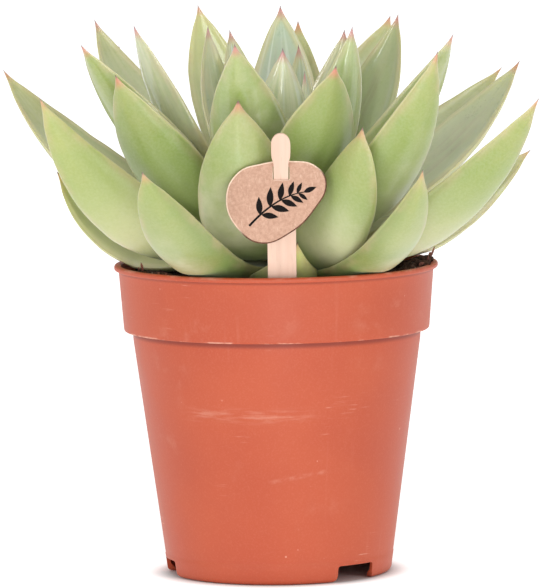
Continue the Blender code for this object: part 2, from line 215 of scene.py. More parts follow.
# ===================================================================== camera
def make_camera():
    eye = Vector((-0.0005, -2.6, 0.365))
    aim = Vector((-0.0005, 0.0, 0.1033))
    cam = bpy.data.cameras.new("camera")
    cam.sensor_width = 36.0
    cam.lens = 2697.0 * (aim - eye).length * 36.0 / 588.0
    cam.clip_start, cam.clip_end = 0.1, 30.0
    obj = bpy.data.objects.new("camera", cam)
    bpy.context.scene.collection.objects.link(obj)
    turn = (aim - eye).to_track_quat("-Z", "Y").to_matrix()
    turn = turn @ Matrix.Rotation(math.radians(CAMERA_ROLL), 3, "Z")
    obj.matrix_world = Matrix.Translation(eye) @ turn.to_4x4()
    bpy.context.scene.camera = obj
    return obj


CAMERA_ROLL = -0.70


# ===================================================================== leaves
GOLDEN_ANGLE = 137.5
FIRST_AZIMUTH = 20.0
STEM_AT = 115.8
LEAF_STEP_UP = 0.60
LEAF_STEP_IN = 0.12
LEAF_BASE_RADIUS = 13.0
LEAF_THICK = 8.0
BUD_RANK = 36
BUD_RADIUS = 6.4
BUD_STEP_IN = 0.75
STEM_TOP = 144.5
DOME_RADIUS = 6.4
DOME_RISE = 3.2
OLDEST = -8

# rank, degrees off the golden angle, mean rise, length, width (mm), curl, twist,
# sideways swing of the tip (mm), and the shape: bend exponent, base width share,
# widest place along the length, fullness toward the tip
LEAVES = (
    (-8, 1, 18.5, 49, 31, 66, -5, 7, 1.00, 0.78, 0.32, 1.4),
    (-7, 16, 21.5, 74, 28, 40, 6, 0, 1.25, 0.34, 0.43, 2.1),
    (-5, -13, 22.5, 107, 22.5, 67, 7, -18, 0.90, 0.80, 0.51, 2.2),
    (-4, 12.5, 28.5, 86, 31.5, 46, 5, 0, 1.25, 0.34, 0.43, 2.1),
    (-3, 6.5, 22.5, 109.5, 23.5, 63, -14, 0, 0.95, 0.70, 0.55, 2.5),
    (-2, 8.5, 21.5, 100.5, 31.5, 30, -37, 0, 1.10, 0.64, 0.42, 1.8),
    (-1, 14.5, 28, 80, 32.5, 48, 45, -0.5, 1.55, 0.64, 0.43, 2.1),
    (0, 2, 35, 92, 26.5, 80, 56, 2, 0.90, 0.66, 0.48, 2.8),
    (1, 4.5, 36, 107.5, 28, 54, 0, 0, 1.25, 0.34, 0.43, 2.1),
    (2, 12.5, 26, 120, 25.5, 70, -51, 2, 0.70, 0.60, 0.39, 2.2),
    (3, -22.5, 13.5, 130.5, 26, 87, 21, 6, 0.50, 0.60, 0.44, 2.4),
    (4, 0.5, 37.5, 105, 30.5, 52, 0, 0, 1.25, 0.34, 0.43, 2.1),
    (5, 0, 32, 88.5, 34, 107, -20, 1.5, 0.60, 0.60, 0.50, 2.4),
    (6, 3.5, 31, 115.5, 26, 16, -19, 0, 1.25, 0.34, 0.43, 2.1),
    (7, -3, 33.5, 113.5, 30, 48, 24, 0, 0.95, 0.34, 0.45, 2.3),
    (8, -5, 37.5, 121, 28.5, 63, 10, 1.5, 0.90, 0.32, 0.42, 2.2),
    (9, -5.5, 54.5, 104.5, 27, 79, -5, 0.5, 1.20, 0.34, 0.46, 2.3),
    (10, -2.5, 43, 94, 30, 45, -23, 0, 1.00, 0.40, 0.45, 2.3),
    (11, -1, 38, 104, 28.5, 44, -28, 0, 1.05, 0.34, 0.47, 2.5),
    (12, -7.5, 43, 103, 28, 48, -16, 0, 1.25, 0.34, 0.43, 2.1),
    (13, 8, 46, 92, 32, 25, -4, 2.5, 1.20, 0.30, 0.45, 2.2),
    (14, 4, 45, 105.5, 30.5, 23, -21, -0.5, 1.20, 0.32, 0.45, 2.2),
    (15, 17, 45.5, 100.5, 26.5, 22, -21, 1.5, 1.20, 0.32, 0.45, 2.3),
    (16, 2, 49.5, 97.5, 26, 34, 17, 0, 1.20, 0.34, 0.44, 2.2),
    (17, 1, 46, 108.5, 26.5, 22, 0, 1, 1.35, 0.34, 0.50, 2.2),
    (18, 12, 49.5, 92.5, 29.5, 12, -13, 2, 1.30, 0.32, 0.44, 2.0),
    (19, 9.5, 59.5, 87.5, 26, 32, -22, 1, 1.25, 0.32, 0.44, 2.1),
    (20, -5, 50.5, 98, 25, 37, 25, -0.5, 1.30, 0.34, 0.44, 2.2),
    (21, 5.5, 62, 85.5, 22, 36, 14, 0, 1.40, 0.34, 0.43, 2.1),
    (22, 8.5, 57, 89.5, 26.5, 27, -6, 4, 1.25, 0.34, 0.45, 2.2),
    (23, -5, 54, 87, 29.5, 35, 7, -0.5, 0.80, 0.34, 0.50, 2.6),
    (25, -1, 65.5, 75.5, 19, 45, -9, -1, 1.25, 0.32, 0.46, 2.2),
    (26, 10.5, 68, 67, 21.5, 30, -1, 0, 1.25, 0.34, 0.45, 2.2),
    (27, -0.5, 69.5, 69.5, 24, 35, -18, -0.5, 1.30, 0.34, 0.43, 2.0),
    (28, -16, 77, 47, 15, 24, 0, 0, 1.25, 0.34, 0.43, 2.1),
    (30, 15.5, 63, 69.5, 18.5, 22, -7, 2, 1.30, 0.34, 0.44, 2.2),
    (32, 25, 88, 56, 17.5, 21, -8, 0, 1.25, 0.34, 0.43, 2.1),
    (34, 58, 85.5, 45.5, 11, 9, -2, 0, 1.25, 0.34, 0.43, 2.1),
    (36, -10, 74, 32, 10, 26, 0, 0, 1.25, 0.34, 0.43, 2.1),
    (38, 0, 75, 27, 9, 26, 0, 0, 1.25, 0.34, 0.43, 2.1),
    (39, 0, 76, 25, 8, 26, 0, 0, 1.25, 0.34, 0.43, 2.1),
    (40, 0, 78, 22, 7, 22, 0, 0, 1.25, 0.34, 0.43, 2.1),
    (41, 0, 78, 20, 6, 22, 0, 0, 1.25, 0.34, 0.43, 2.1),
    (42, 0, 80, 17, 5, 16, 0, 0, 1.25, 0.34, 0.43, 2.1),
    (43, 0, 84, 14, 4, 10, 0, 0, 1.25, 0.34, 0.43, 2.1),
)


# leaves painted lighter: a yellower green, and on the oldest leaf painted light where the stick and rim shade it
LIGHTER_AND_PAINTED_LIT_LEAVES = {-8: 1.15, -1: 0.25, 25: 0.2, 17: 0.5, 2: 0.15}
# how blue-green the hollows of the inner leaves are and how strongly the painted highlight streaks show on them; the
# rest of the bud is 0.7, other leaves 0.12
COOL_LEAVES = {11: 0.35, 13: 0.35, 19: 0.25, 21: 0.30, 22: 0.95, 25: 0.85, 26: 1.0, 27: 0.35, 28: 0.9, 30: 0.8,
               32: 0.9, 34: 1.0}
# bloom and painted light on the belly of the front leaves: how much, where along, where across
BELLY_BLOOM_AND_LIGHT = {-3: (0.85, 0.50, -0.35), -5: (0.8, 0.46, 0.35), 5: (1.1, 0.50, -0.70), 0: (0.45, 0.52, 0.3),
               8: (0.4, 0.55, 0.4), 18: (1.0, 0.50, 0.3), 7: (0.4, 0.5, 0.0)}
# painted shade: leaves darkened toward the shade green all over
SHADED_LEAVES = {-3: 0.25, -5: 0.05, 13: 0.40, 14: 0.20, 19: 0.50}
# leaves with bloom and painted light all over
HAZY_AND_PAINTED_LIT_LEAVES = {25: 1.2, 26: 0.45, 28: 0.6, 34: 0.5, 32: 0.4, 22: 0.3, 16: 0.6, 11: 0.6, 9: 0.4, 23: 0.7,
               18: 0.25, 5: 0.15}
# which side of the two low front leaves is turned inward, darkened there by painted shade
INNER_SIDE = {-3: 1.0, -5: -1.0}


def leaf_width(s, base, widest, full):
    rise = np.sin(math.pi / 2 * np.clip(s / widest, 0.0, 1.0)) ** 1.15
    low = base + (1.0 - base) * rise
    t = np.clip((s - widest) / (1.0 - widest), 0.0, 1.0)
    high = np.clip(1.0 - t ** full, 0.0, 1.0) ** 1.12
    return np.where(s < widest, low, high)


def leaf_thickness(s):
    low = 0.42 + 0.58 * np.sin(math.pi / 2 * np.clip(s / 0.36, 0.0, 1.0))
    high = 1.0 - np.clip((s - 0.36) / 0.64, 0.0, 1.0) ** 1.8
    return np.where(s < 0.36, low, high)


def make_leaf(number, row, mat):
    (rank, nudge, rise, length, width, curl, twist, swing,
     bend, base, widest, full) = row
    young = (rank - OLDEST) / (43.0 - OLDEST)
    small = length < 40.0
    ns, nc = (30, 28) if small else (64, 44)
    # stations along the length, closer together near the tip
    q = np.linspace(0.0, 1.0, ns + 1)
    s = np.where(q < 0.75, q / 0.75 * 0.84, 0.84 + (q - 0.75) / 0.25 * 0.16)
    s = s * 0.999
    az = math.radians(FIRST_AZIMUTH + GOLDEN_ANGLE * rank + nudge)
    out = np.array([math.sin(az), -math.cos(az), 0.0])
    lat = np.array([math.cos(az), math.sin(az), 0.0])
    up = np.array([0.0, 0.0, 1.0])
    place = rank - OLDEST
    r0, z0 = LEAF_BASE_RADIUS - LEAF_STEP_IN * place, STEM_AT + LEAF_STEP_UP * place
    # the oldest leaves sit down on the soil, and their bases are broad and thick
    old = min(1.0, max(0.0, (3.0 - rank) / 6.0))
    z0 -= 2.6 * old
    if rank >= BUD_RANK:
        r0 = BUD_RADIUS - BUD_STEP_IN * (rank - BUD_RANK)
        z0 = STEM_TOP - DOME_RISE * (max(0.0, r0 - 0.6) / DOME_RADIUS) ** 2 + 0.3

    fine = np.linspace(0.0, 1.0, 401)
    angle = np.radians(rise - curl / 2 + curl * fine ** bend)
    mid = 0.5 * (angle[1:] + angle[:-1])
    reach = r0 + np.concatenate([[0.0], np.cumsum(np.cos(mid))]) * length / 400
    height = z0 + np.concatenate([[0.0], np.cumsum(np.sin(mid))]) * length / 400
    a = np.interp(s, fine, angle)
    rr, zz = np.interp(s, fine, reach), np.interp(s, fine, height)
    centre = rr[:, None] * out + zz[:, None] * up + (swing * s ** 2)[:, None] * lat
    face = -np.sin(a)[:, None] * out + np.cos(a)[:, None] * up
    side = np.repeat(lat[None], len(s), 0)
    turn = np.radians(twist) * np.clip(2.2 * s, 0.0, 1.0)
    above = np.cos(turn)[:, None] * face + np.sin(turn)[:, None] * side
    across = np.cos(turn)[:, None] * side - np.sin(turn)[:, None] * face

    thick = LEAF_THICK * (width / 34.0) ** 0.8
    half = leaf_width(s, base, widest, full) * width / 2
    needle = 0.34 * np.clip((1.0 - s) / 0.035, 0.0, 1.0) ** 0.8 + 0.03
    half = np.maximum(half * (1.0 - 0.25 * smooth(s, 0.90, 0.985)), needle * min(1.0, length / 60))
    swell = leaf_thickness(s) + 0.40 * old * (1.0 - smooth(s, 0.0, 0.36))
    depth = np.minimum(swell * thick, half * 1.25 + 0.2)

    # the section: u runs -1..1 across, the lower side is full and keeled toward
    # the tip, the upper side is hollow between two rounded bands at the margins
    t = np.linspace(0.0, 2 * math.pi, nc, endpoint=False)
    u, v = np.cos(t), np.sin(t)
    keel = 0.45 * smooth(s, 0.45, 0.97)[:, None]
    full_low = np.abs(v) ** 0.95
    sharp_low = 1.0 - (np.sqrt(u ** 2 + 0.012) - 0.11) / 0.896
    low = -0.86 * depth[:, None] * ((1 - keel) * full_low + keel * sharp_low)
    cup = (0.055 + 0.16 * young) * half[:, None] * (0.45 + 0.75 * smooth(s, 0.15, 0.7)[:, None])
    crown = 0.14 * depth[:, None] * (1.0 - 0.9 * young) * np.abs(v) ** 1.2
    bands = np.exp(-((np.abs(u) - 0.80) / 0.13) ** 2) * np.minimum(0.42, half[:, None] * 0.05)
    high = crown + bands * smooth(s, 0.1, 0.35)[:, None] - 0.10 * depth[:, None] * young * np.abs(v) ** 0.8
    y = np.where(v > 0, high, low) + cup * (u ** 2)
    x = half[:, None] * u[None, :]
    pts = centre[:, None, :] + x[..., None] * across[:, None, :] + y[..., None] * above[:, None, :]
    flat = pts.reshape(-1, 3)

    # slow undulation of the flesh
    amount = 0.26 * np.repeat(np.clip(half / 12.0, 0.0, 1.0), nc)
    push = wobble(flat, 100 + number, 26.0) * 0.7 + wobble(flat, 300 + number, 11.0) * 0.3
    axis = np.repeat(centre, nc, 0)
    radial = flat - axis
    norm = np.linalg.norm(radial, axis=1, keepdims=True) + 1e-9
    flat = flat + radial / norm * (push * amount)[:, None]

    # the oldest leaves lie on the pot's rim, which presses into them a little
    if rank <= 3:
        out_r = np.hypot(flat[:, 0], flat[:, 1])
        rest = 115.6 - 0.9 * np.clip(57.0 - out_r, 0.0, None) - 1.2 * np.clip(out_r - 61.5, 0.0, None)
        gap = flat[:, 2] - rest
        flat[:, 2] = rest + 0.5 * (gap + np.sqrt(gap ** 2 + 0.5))

    tip = centre[-1] + (centre[-1] - centre[-2]) * 0.5
    verts = np.concatenate([flat, tip[None], centre[:1]])
    faces = []
    for i in range(ns):
        for j in range(nc):
            k = (j + 1) % nc
            faces.append((i * nc + j, i * nc + k, (i + 1) * nc + k, (i + 1) * nc + j))
    last, tip_i, base_i = ns * nc, len(flat), len(flat) + 1
    for j in range(nc):
        k = (j + 1) % nc
        faces.append((last + j, last + k, tip_i))
        faces.append((k, j, base_i))
    name = "fine_leaf_%02d" % number
    mesh = mesh_from(name, verts * MM, faces)

    def both(a_ring, tip_value, base_value):
        return np.concatenate([a_ring.ravel(), [tip_value, base_value]])

    one = np.ones((ns + 1, nc))
    put_attribute(mesh, "along", both(s[:, None] * one, 1.0, 0.0))
    put_attribute(mesh, "across", both(u[None, :] * one, 0.0, 0.0))
    put_attribute(mesh, "upper", both(np.where(v >= -1e-9, 1.0, 0.0)[None, :] * one, 0.5, 0.5))
    put_attribute(mesh, "half", both(half[:, None] * one, 0.0, half[0]))
    put_attribute(mesh, "left", both((length * (1.0 - s))[:, None] * one, 0.0, length))
    put_attribute(mesh, "young", np.full(len(verts), young))
    put_attribute(mesh, "own", np.full(len(verts), rng.rand()))
    mesh.update()
    facing = np.array([v.normal.z for v in mesh.vertices])
    put_attribute(mesh, "down", np.clip(-facing, 0.0, 1.0))
    # painted shade on the inward side of the low front leaves and on the shaded leaves
    inward = INNER_SIDE.get(rank, 0.0)
    inner = one * np.clip((inward * u - 0.35) / 0.6, 0.0, 1.0) * abs(inward)
    inner = np.clip(inner + SHADED_LEAVES.get(rank, 0.0), 0.0, 1.0)
    put_attribute(mesh, "inner", both(inner, 0.0, 0.0))
    # bloom and painted light, brightening bellies and whole leaves
    much, where, off = BELLY_BLOOM_AND_LIGHT.get(rank, (0.0, 0.5, 0.0))
    bloom_and_painted_light = much * np.exp(-((s[:, None] - where) / 0.15) ** 2) * np.exp(-((u - off) / 0.55) ** 2)
    bloom_and_painted_light = bloom_and_painted_light + one * HAZY_AND_PAINTED_LIT_LEAVES.get(rank, 0.0)
    put_attribute(mesh, "bloom_and_painted_light", both(bloom_and_painted_light, 0.0, 0.0))
    cool = COOL_LEAVES.get(rank, 0.7 if rank >= BUD_RANK else 0.12)
    put_attribute(mesh, "cool", np.full(len(verts), cool))
    # painted light: the lighter colour stands in for light on the oldest leaf, less on the half the stick shades
    lit = one * LIGHTER_AND_PAINTED_LIT_LEAVES.get(rank, 0.0)
    if rank == OLDEST:
        lit = lit * np.clip(0.35 + 1.4 * u, 0.15, 1.0)     # the stick shades its left half
    put_attribute(mesh, "light", both(lit, LIGHTER_AND_PAINTED_LIT_LEAVES.get(rank, 0.0), 0.0))
    obj = link_object(name, mesh, [mat])
    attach(obj, "root")
    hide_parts("leaf_%02d" % number)
    return obj


def leaf_material(name, coat, coat_rough):
    m = Nodes(name)
    along, across, upper = m.attr("along"), m.attr("across"), m.attr("upper")
    half, left, young, own = m.attr("half"), m.attr("left"), m.attr("young"), m.attr("own")
    edge = m.math("ABSOLUTE", across)
    to_edge = m.math("MULTIPLY", m.math("SUBTRACT", 1.0, edge), half)     # mm from the margin

    shift = m.join(m.math("MULTIPLY", own, 3.1), m.math("MULTIPLY", own, 1.7), own)
    add = m.tree.nodes.new("ShaderNodeVectorMath")
    add.operation = "ADD"
    m.link(m.coord, add.inputs[0])
    m.link(shift, add.inputs[1])
    here = add.outputs[0]
    broad = m.noise(34.0, 2.0, 0.5, here)
    cloud = m.noise(110.0, 3.0, 0.55, here)
    grain = m.noise(1100.0, 4.0, 0.65, here)
    # streaks that follow the leaf
    lane = m.join(m.math("MULTIPLY", across, 3.0), m.math("MULTIPLY", along, 0.9), m.math("MULTIPLY", own, 9.0))
    streak = m.noise(1.6, 3.0, 0.55, lane)

    below = m.mix(m.step(broad, 0.30, 0.70), LEAF_COLOURS["below_a"], LEAF_COLOURS["below_b"])
    above = m.mix(m.step(streak, 0.32, 0.68), LEAF_COLOURS["above_a"], LEAF_COLOURS["above_b"])
    # the outer half of the grown leaves is a fuller green
    full = m.math("MULTIPLY", m.step(along, 0.30, 0.75), m.step(young, 0.45, 0.62, 0.85, 0.05))
    below = m.mix(full, below, LEAF_COLOURS["full"])
    # the young ones are paler and bluer, streaked along their length
    fresh = m.mix(m.step(streak, 0.35, 0.62), LEAF_COLOURS["young_a"], LEAF_COLOURS["young_b"])
    below = m.mix(m.step(young, 0.52, 0.64, 0.0, 0.90), below, fresh)
    colour = m.mix(upper, below, above)
    # upper faces: bluish in the hollow, a light band inside each margin
    inside = m.step(to_edge, 1.6, 3.4)
    colour = m.mix(m.math("MULTIPLY", m.math("MULTIPLY", upper, inside), m.math("MULTIPLY", m.attr("cool"), 0.70)),
                   colour, LEAF_COLOURS["hollow"])
    band = m.math("MULTIPLY", m.step(to_edge, 0.5, 1.0), m.step(to_edge, 1.5, 2.3, 1.0, 0.0))
    colour = m.mix(m.math("MULTIPLY", m.math("MULTIPLY", upper, band), 0.55), colour, LEAF_COLOURS["band"])
    # painted reflection and shade: a dull mauve darkening along the hollow of the upper face
    hollow = m.step(edge, 0.10, 0.75, 1.0, 0.0)
    hollow = m.math("MULTIPLY", m.math("MULTIPLY", hollow, upper), m.step(streak, 0.40, 0.66))
    hollow = m.math("MULTIPLY", hollow, m.step(along, 0.9, 0.65))
    colour = m.mix(m.math("MULTIPLY", hollow, 0.50), colour, LEAF_COLOURS["painted_hollow_shade"])
    # cream around the lower third of the older leaves, stronger on the down-facing undersides: partly the leaf's
    # colour, partly painted floor light and reflection; painted shade green again at the very foot
    from_foot = m.math("SUBTRACT", along, m.step(young, 0.100, 0.114, 0.28, 0.0))
    pale = m.math("MULTIPLY", m.step(from_foot, 0.30, 0.80, 1.0, 0.0), m.step(from_foot, 0.20, 0.40, 0.10, 1.0))
    pale = m.math("MULTIPLY", pale, m.step(young, 0.100, 0.114, 0.25, 0.62))
    pale = m.math("MULTIPLY", pale, m.step(young, 0.14, 0.16, 0.85, 0.98))
    # painted light and reflection: more cream where the surface faces down toward the floor
    pale = m.math("MULTIPLY", pale, m.step(m.attr("down"), 0.05, 0.55, 0.85, 1.0))
    pale = m.math("MULTIPLY", pale, m.step(young, 0.27, 0.36, 1.0, 0.10))
    pale = m.math("MULTIPLY", pale, m.step(cloud, 0.2, 0.75, 0.85, 1.1))
    colour = m.mix(pale, colour, LEAF_COLOURS["cream_and_floor_sheen"])
    # painted shade: the foot of the lower faces darkened to the shade green
    foot = m.math("MULTIPLY", m.step(from_foot, 0.18, 0.42, 1.0, 0.0), m.step(young, 0.30, 0.70, 0.85, 0.20))
    foot = m.math("MULTIPLY", foot, m.math("SUBTRACT", 1.0, upper))
    colour = m.mix(foot, colour, LEAF_COLOURS["foot"])
    # yellower over the last third, in uneven clouds
    warm = m.step(along, 0.55, 1.0)
    warm = m.math("MULTIPLY", warm, m.step(cloud, 0.30, 0.70, 0.30, 0.75))
    warm = m.math("MULTIPLY", warm, m.step(young, 0.40, 0.65, 1.0, 0.30))
    colour = m.mix(warm, colour, LEAF_COLOURS["warm"])
    # painted highlight: long pale glassy streaks on the young leaves
    fine_lane = m.join(m.math("MULTIPLY", across, 3.6), m.math("MULTIPLY", along, 0.6), m.math("MULTIPLY", own, 17.0))
    painted_streak = m.step(m.noise(1.5, 1.0, 0.4, fine_lane), 0.52, 0.74)
    painted_streak = m.math("MULTIPLY", painted_streak, m.step(m.attr("cool"), 0.30, 1.0, 0.0, 0.85))
    painted_streak = m.math("MULTIPLY", painted_streak, m.step(along, 0.90, 0.97, 1.0, 0.0))
    colour = m.mix(painted_streak, colour, LEAF_COLOURS["painted_streak"])
    # fine cell mottling and bloom
    colour = m.mix(m.step(grain, 0.35, 0.70, 0.0, 0.14), colour, LEAF_COLOURS["bloom"])
    colour = m.mix(m.step(m.noise(480.0, 3.0, 0.6, here), 0.50, 0.80, 0.0, 0.20), colour,
                   LEAF_COLOURS["deep"])
    # painted light and a yellower green: the listed leaves lightened toward the light colour
    colour = m.mix(m.math("MULTIPLY", m.attr("light"), 0.85), colour, LEAF_COLOURS["light"])
    # painted shade: the inner edge of the front leaves and the shaded leaves darkened to the shade green; bloom and
    # painted light haze their bellies
    colour = m.mix(m.math("MULTIPLY", m.attr("inner"), 0.60), colour, LEAF_COLOURS["foot"])
    # bloom and painted light: a pale haze in clouds
    bloom_and_painted_light = m.math("MULTIPLY", m.attr("bloom_and_painted_light"), m.step(cloud, 0.30, 0.70, 0.25, 0.75))
    colour = m.mix(bloom_and_painted_light, colour, LEAF_COLOURS["bloom_and_painted_light"])
    # a rosy flush beside the margin and a thin pale line on it
    flush = m.step(to_edge, 0.2, 3.2, 1.0, 0.0)
    flush = m.math("MULTIPLY", flush, m.step(cloud, 0.35, 0.65, 0.05, 0.32))
    colour = m.mix(flush, colour, LEAF_COLOURS["flush"])
    rim = m.step(to_edge, 0.06, 0.50, 1.0, 0.0)
    rim = m.math("MULTIPLY", rim, m.step(along, 0.08, 0.3))
    colour = m.mix(m.math("MULTIPLY", rim, m.step(young, 0.05, 0.40, 0.15, 0.55)), colour, LEAF_COLOURS["margin"])
    # blush and needle at the tip
    reach = m.math("ADD", left, m.math("MULTIPLY", m.math("SUBTRACT", cloud, 0.5), 3.0))
    blush = m.step(reach, 1.2, 6.5, 1.0, 0.0)
    tip_colour = m.mix(m.step(young, 0.35, 0.60), LEAF_COLOURS["blush"], LEAF_COLOURS["blush_young"])
    colour = m.mix(m.math("MULTIPLY", blush, m.step(young, 0.05, 0.35, 0.45, 0.85)), colour, tip_colour)
    dark = m.step(left, 0.3, 2.0, 1.0, 0.0)
    colour = m.mix(dark, colour, LEAF_COLOURS["needle"])
    # a few pinprick marks and pale water spots
    marks = m.step(m.voronoi(52.0, here), 0.020, 0.035, 1.0, 0.0)
    marks = m.math("MULTIPLY", marks, m.step(m.noise(21.0, 1.0, 0.5, here), 0.55, 0.60))
    colour = m.mix(m.math("MULTIPLY", marks, 0.75), colour, LEAF_COLOURS["speck"])
    spots = m.step(m.voronoi(190.0, here), 0.10, 0.20, 1.0, 0.0)
    spots = m.math("MULTIPLY", spots, m.step(m.noise(60.0, 2.0, 0.5, here), 0.60, 0.68))
    spots = m.math("MULTIPLY", spots, m.step(along, 0.10, 0.45, 1.0, 0.0))
    colour = m.mix(m.math("MULTIPLY", spots, 0.55), colour, LEAF_COLOURS["spot"])

    rough = m.step(cloud, 0.25, 0.75, 0.30, 0.42)
    rough = m.math("SUBTRACT", rough, m.math("MULTIPLY", upper, 0.04))
    rough = m.math("ADD", rough, m.math("MULTIPLY", m.step(grain, 0.4, 0.7), 0.05))
    m.set(Base_Color=colour, Roughness=rough)
    m.bsdf.inputs["IOR"].default_value = 1.5
    m.bsdf.inputs["Specular IOR Level"].default_value = 0.5
    m.bsdf.inputs["Coat Weight"].default_value = coat
    m.bsdf.inputs["Coat Roughness"].default_value = coat_rough
    m.bsdf.inputs["Coat IOR"].default_value = 1.5
    m.bsdf.inputs["Subsurface Weight"].default_value = 0.30
    m.bsdf.inputs["Subsurface Radius"].default_value = (1.0, 1.0, 0.45)
    m.bsdf.inputs["Subsurface Scale"].default_value = 0.0035
    m.bsdf.inputs["Sheen Weight"].default_value = 0.12
    m.bsdf.inputs["Sheen Roughness"].default_value = 0.45
    m.bsdf.inputs["Sheen Tint"].default_value = (0.95, 1.0, 0.94, 1.0)
    height = m.math("ADD", m.math("MULTIPLY", grain, 0.5), m.math("MULTIPLY", cloud, 1.2))
    m.link(m.bump(height, 0.06, 0.0004), m.bsdf.inputs["Normal"])
    return m.mat


LEAF_COLOURS = {
    "below_a": srgb(144, 172, 86),
    "below_b": srgb(170, 190, 114),
    "full": srgb(140, 160, 84),
    "above_a": srgb(188, 194, 146),
    "above_b": srgb(206, 208, 164),
    "young_a": srgb(196, 210, 170),
    "young_b": srgb(230, 232, 206),
    "hollow": srgb(178, 206, 194),
    "band": srgb(222, 222, 184),
    "foot": srgb(116, 138, 66),
    "painted_hollow_shade": srgb(150, 136, 118),
    "cream_and_floor_sheen": srgb(212, 202, 172),
    "warm": srgb(174, 174, 106),
    "painted_streak": srgb(226, 236, 226),
    "bloom_and_painted_light": srgb(215, 215, 182),
    "bloom": srgb(206, 210, 178),
    "light": srgb(216, 220, 140),
    "deep": srgb(136, 156, 92),
    "flush": srgb(206, 170, 146),
    "margin": srgb(216, 208, 162),
    "blush": srgb(210, 116, 104),
    "blush_young": srgb(204, 112, 132),
    "needle": srgb(78, 36, 52),
    "speck": srgb(110, 98, 62),
    "spot": srgb(230, 228, 210),
}


# ======================================================================== pot
POT_HEIGHT, LIP_R, LIP_H = 115.0, 60.0, 1.8
COLLAR_TOP_R, COLLAR_LOW_R, COLLAR_LOW_Z = 58.4, 56.6, 90.6
BODY_TOP_R, BODY_TOP_Z, FOOT_R = 53.3, 87.6, 41.6
WALL = 1.0


def body_r(z):
    return FOOT_R + (z - 2.2) / (BODY_TOP_Z - 2.2) * (BODY_TOP_R - FOOT_R)


def collar_r(z):
    return COLLAR_LOW_R + (z - COLLAR_LOW_Z) / (113.2 - COLLAR_LOW_Z) * (COLLAR_TOP_R - COLLAR_LOW_R)


def arc(cx, cz, r, start, end, n):
    return [(cx + r * math.cos(math.radians(start + (end - start) * i / n)),
             cz + r * math.sin(math.radians(start + (end - start) * i / n))) for i in range(n + 1)]


def lathe(name, profile, steps):
    verts, faces, rings = [], [], []
    for radius, z in profile:
        if radius < 1e-6:
            rings.append([len(verts)] * steps)
            verts.append((0.0, 0.0, z))
        else:
            rings.append(list(range(len(verts), len(verts) + steps)))
            for i in range(steps):
                t = 2 * math.pi * i / steps
                verts.append((radius * math.sin(t), -radius * math.cos(t), z))
    for a, b in zip(rings, rings[1:]):
        for i in range(steps):
            j = (i + 1) % steps
            quad = [a[i], b[i], b[j], a[j]]
            clean = [q for k, q in enumerate(quad) if q not in quad[:k]]
            if len(clean) > 2:
                faces.append(clean)
    mesh = mesh_from(name, np.array(verts) * MM, faces)
    bm = bmesh.new()
    bm.from_mesh(mesh)
    bmesh.ops.recalc_face_normals(bm, faces=bm.faces)
    bm.to_mesh(mesh)
    bm.free()
    return mesh


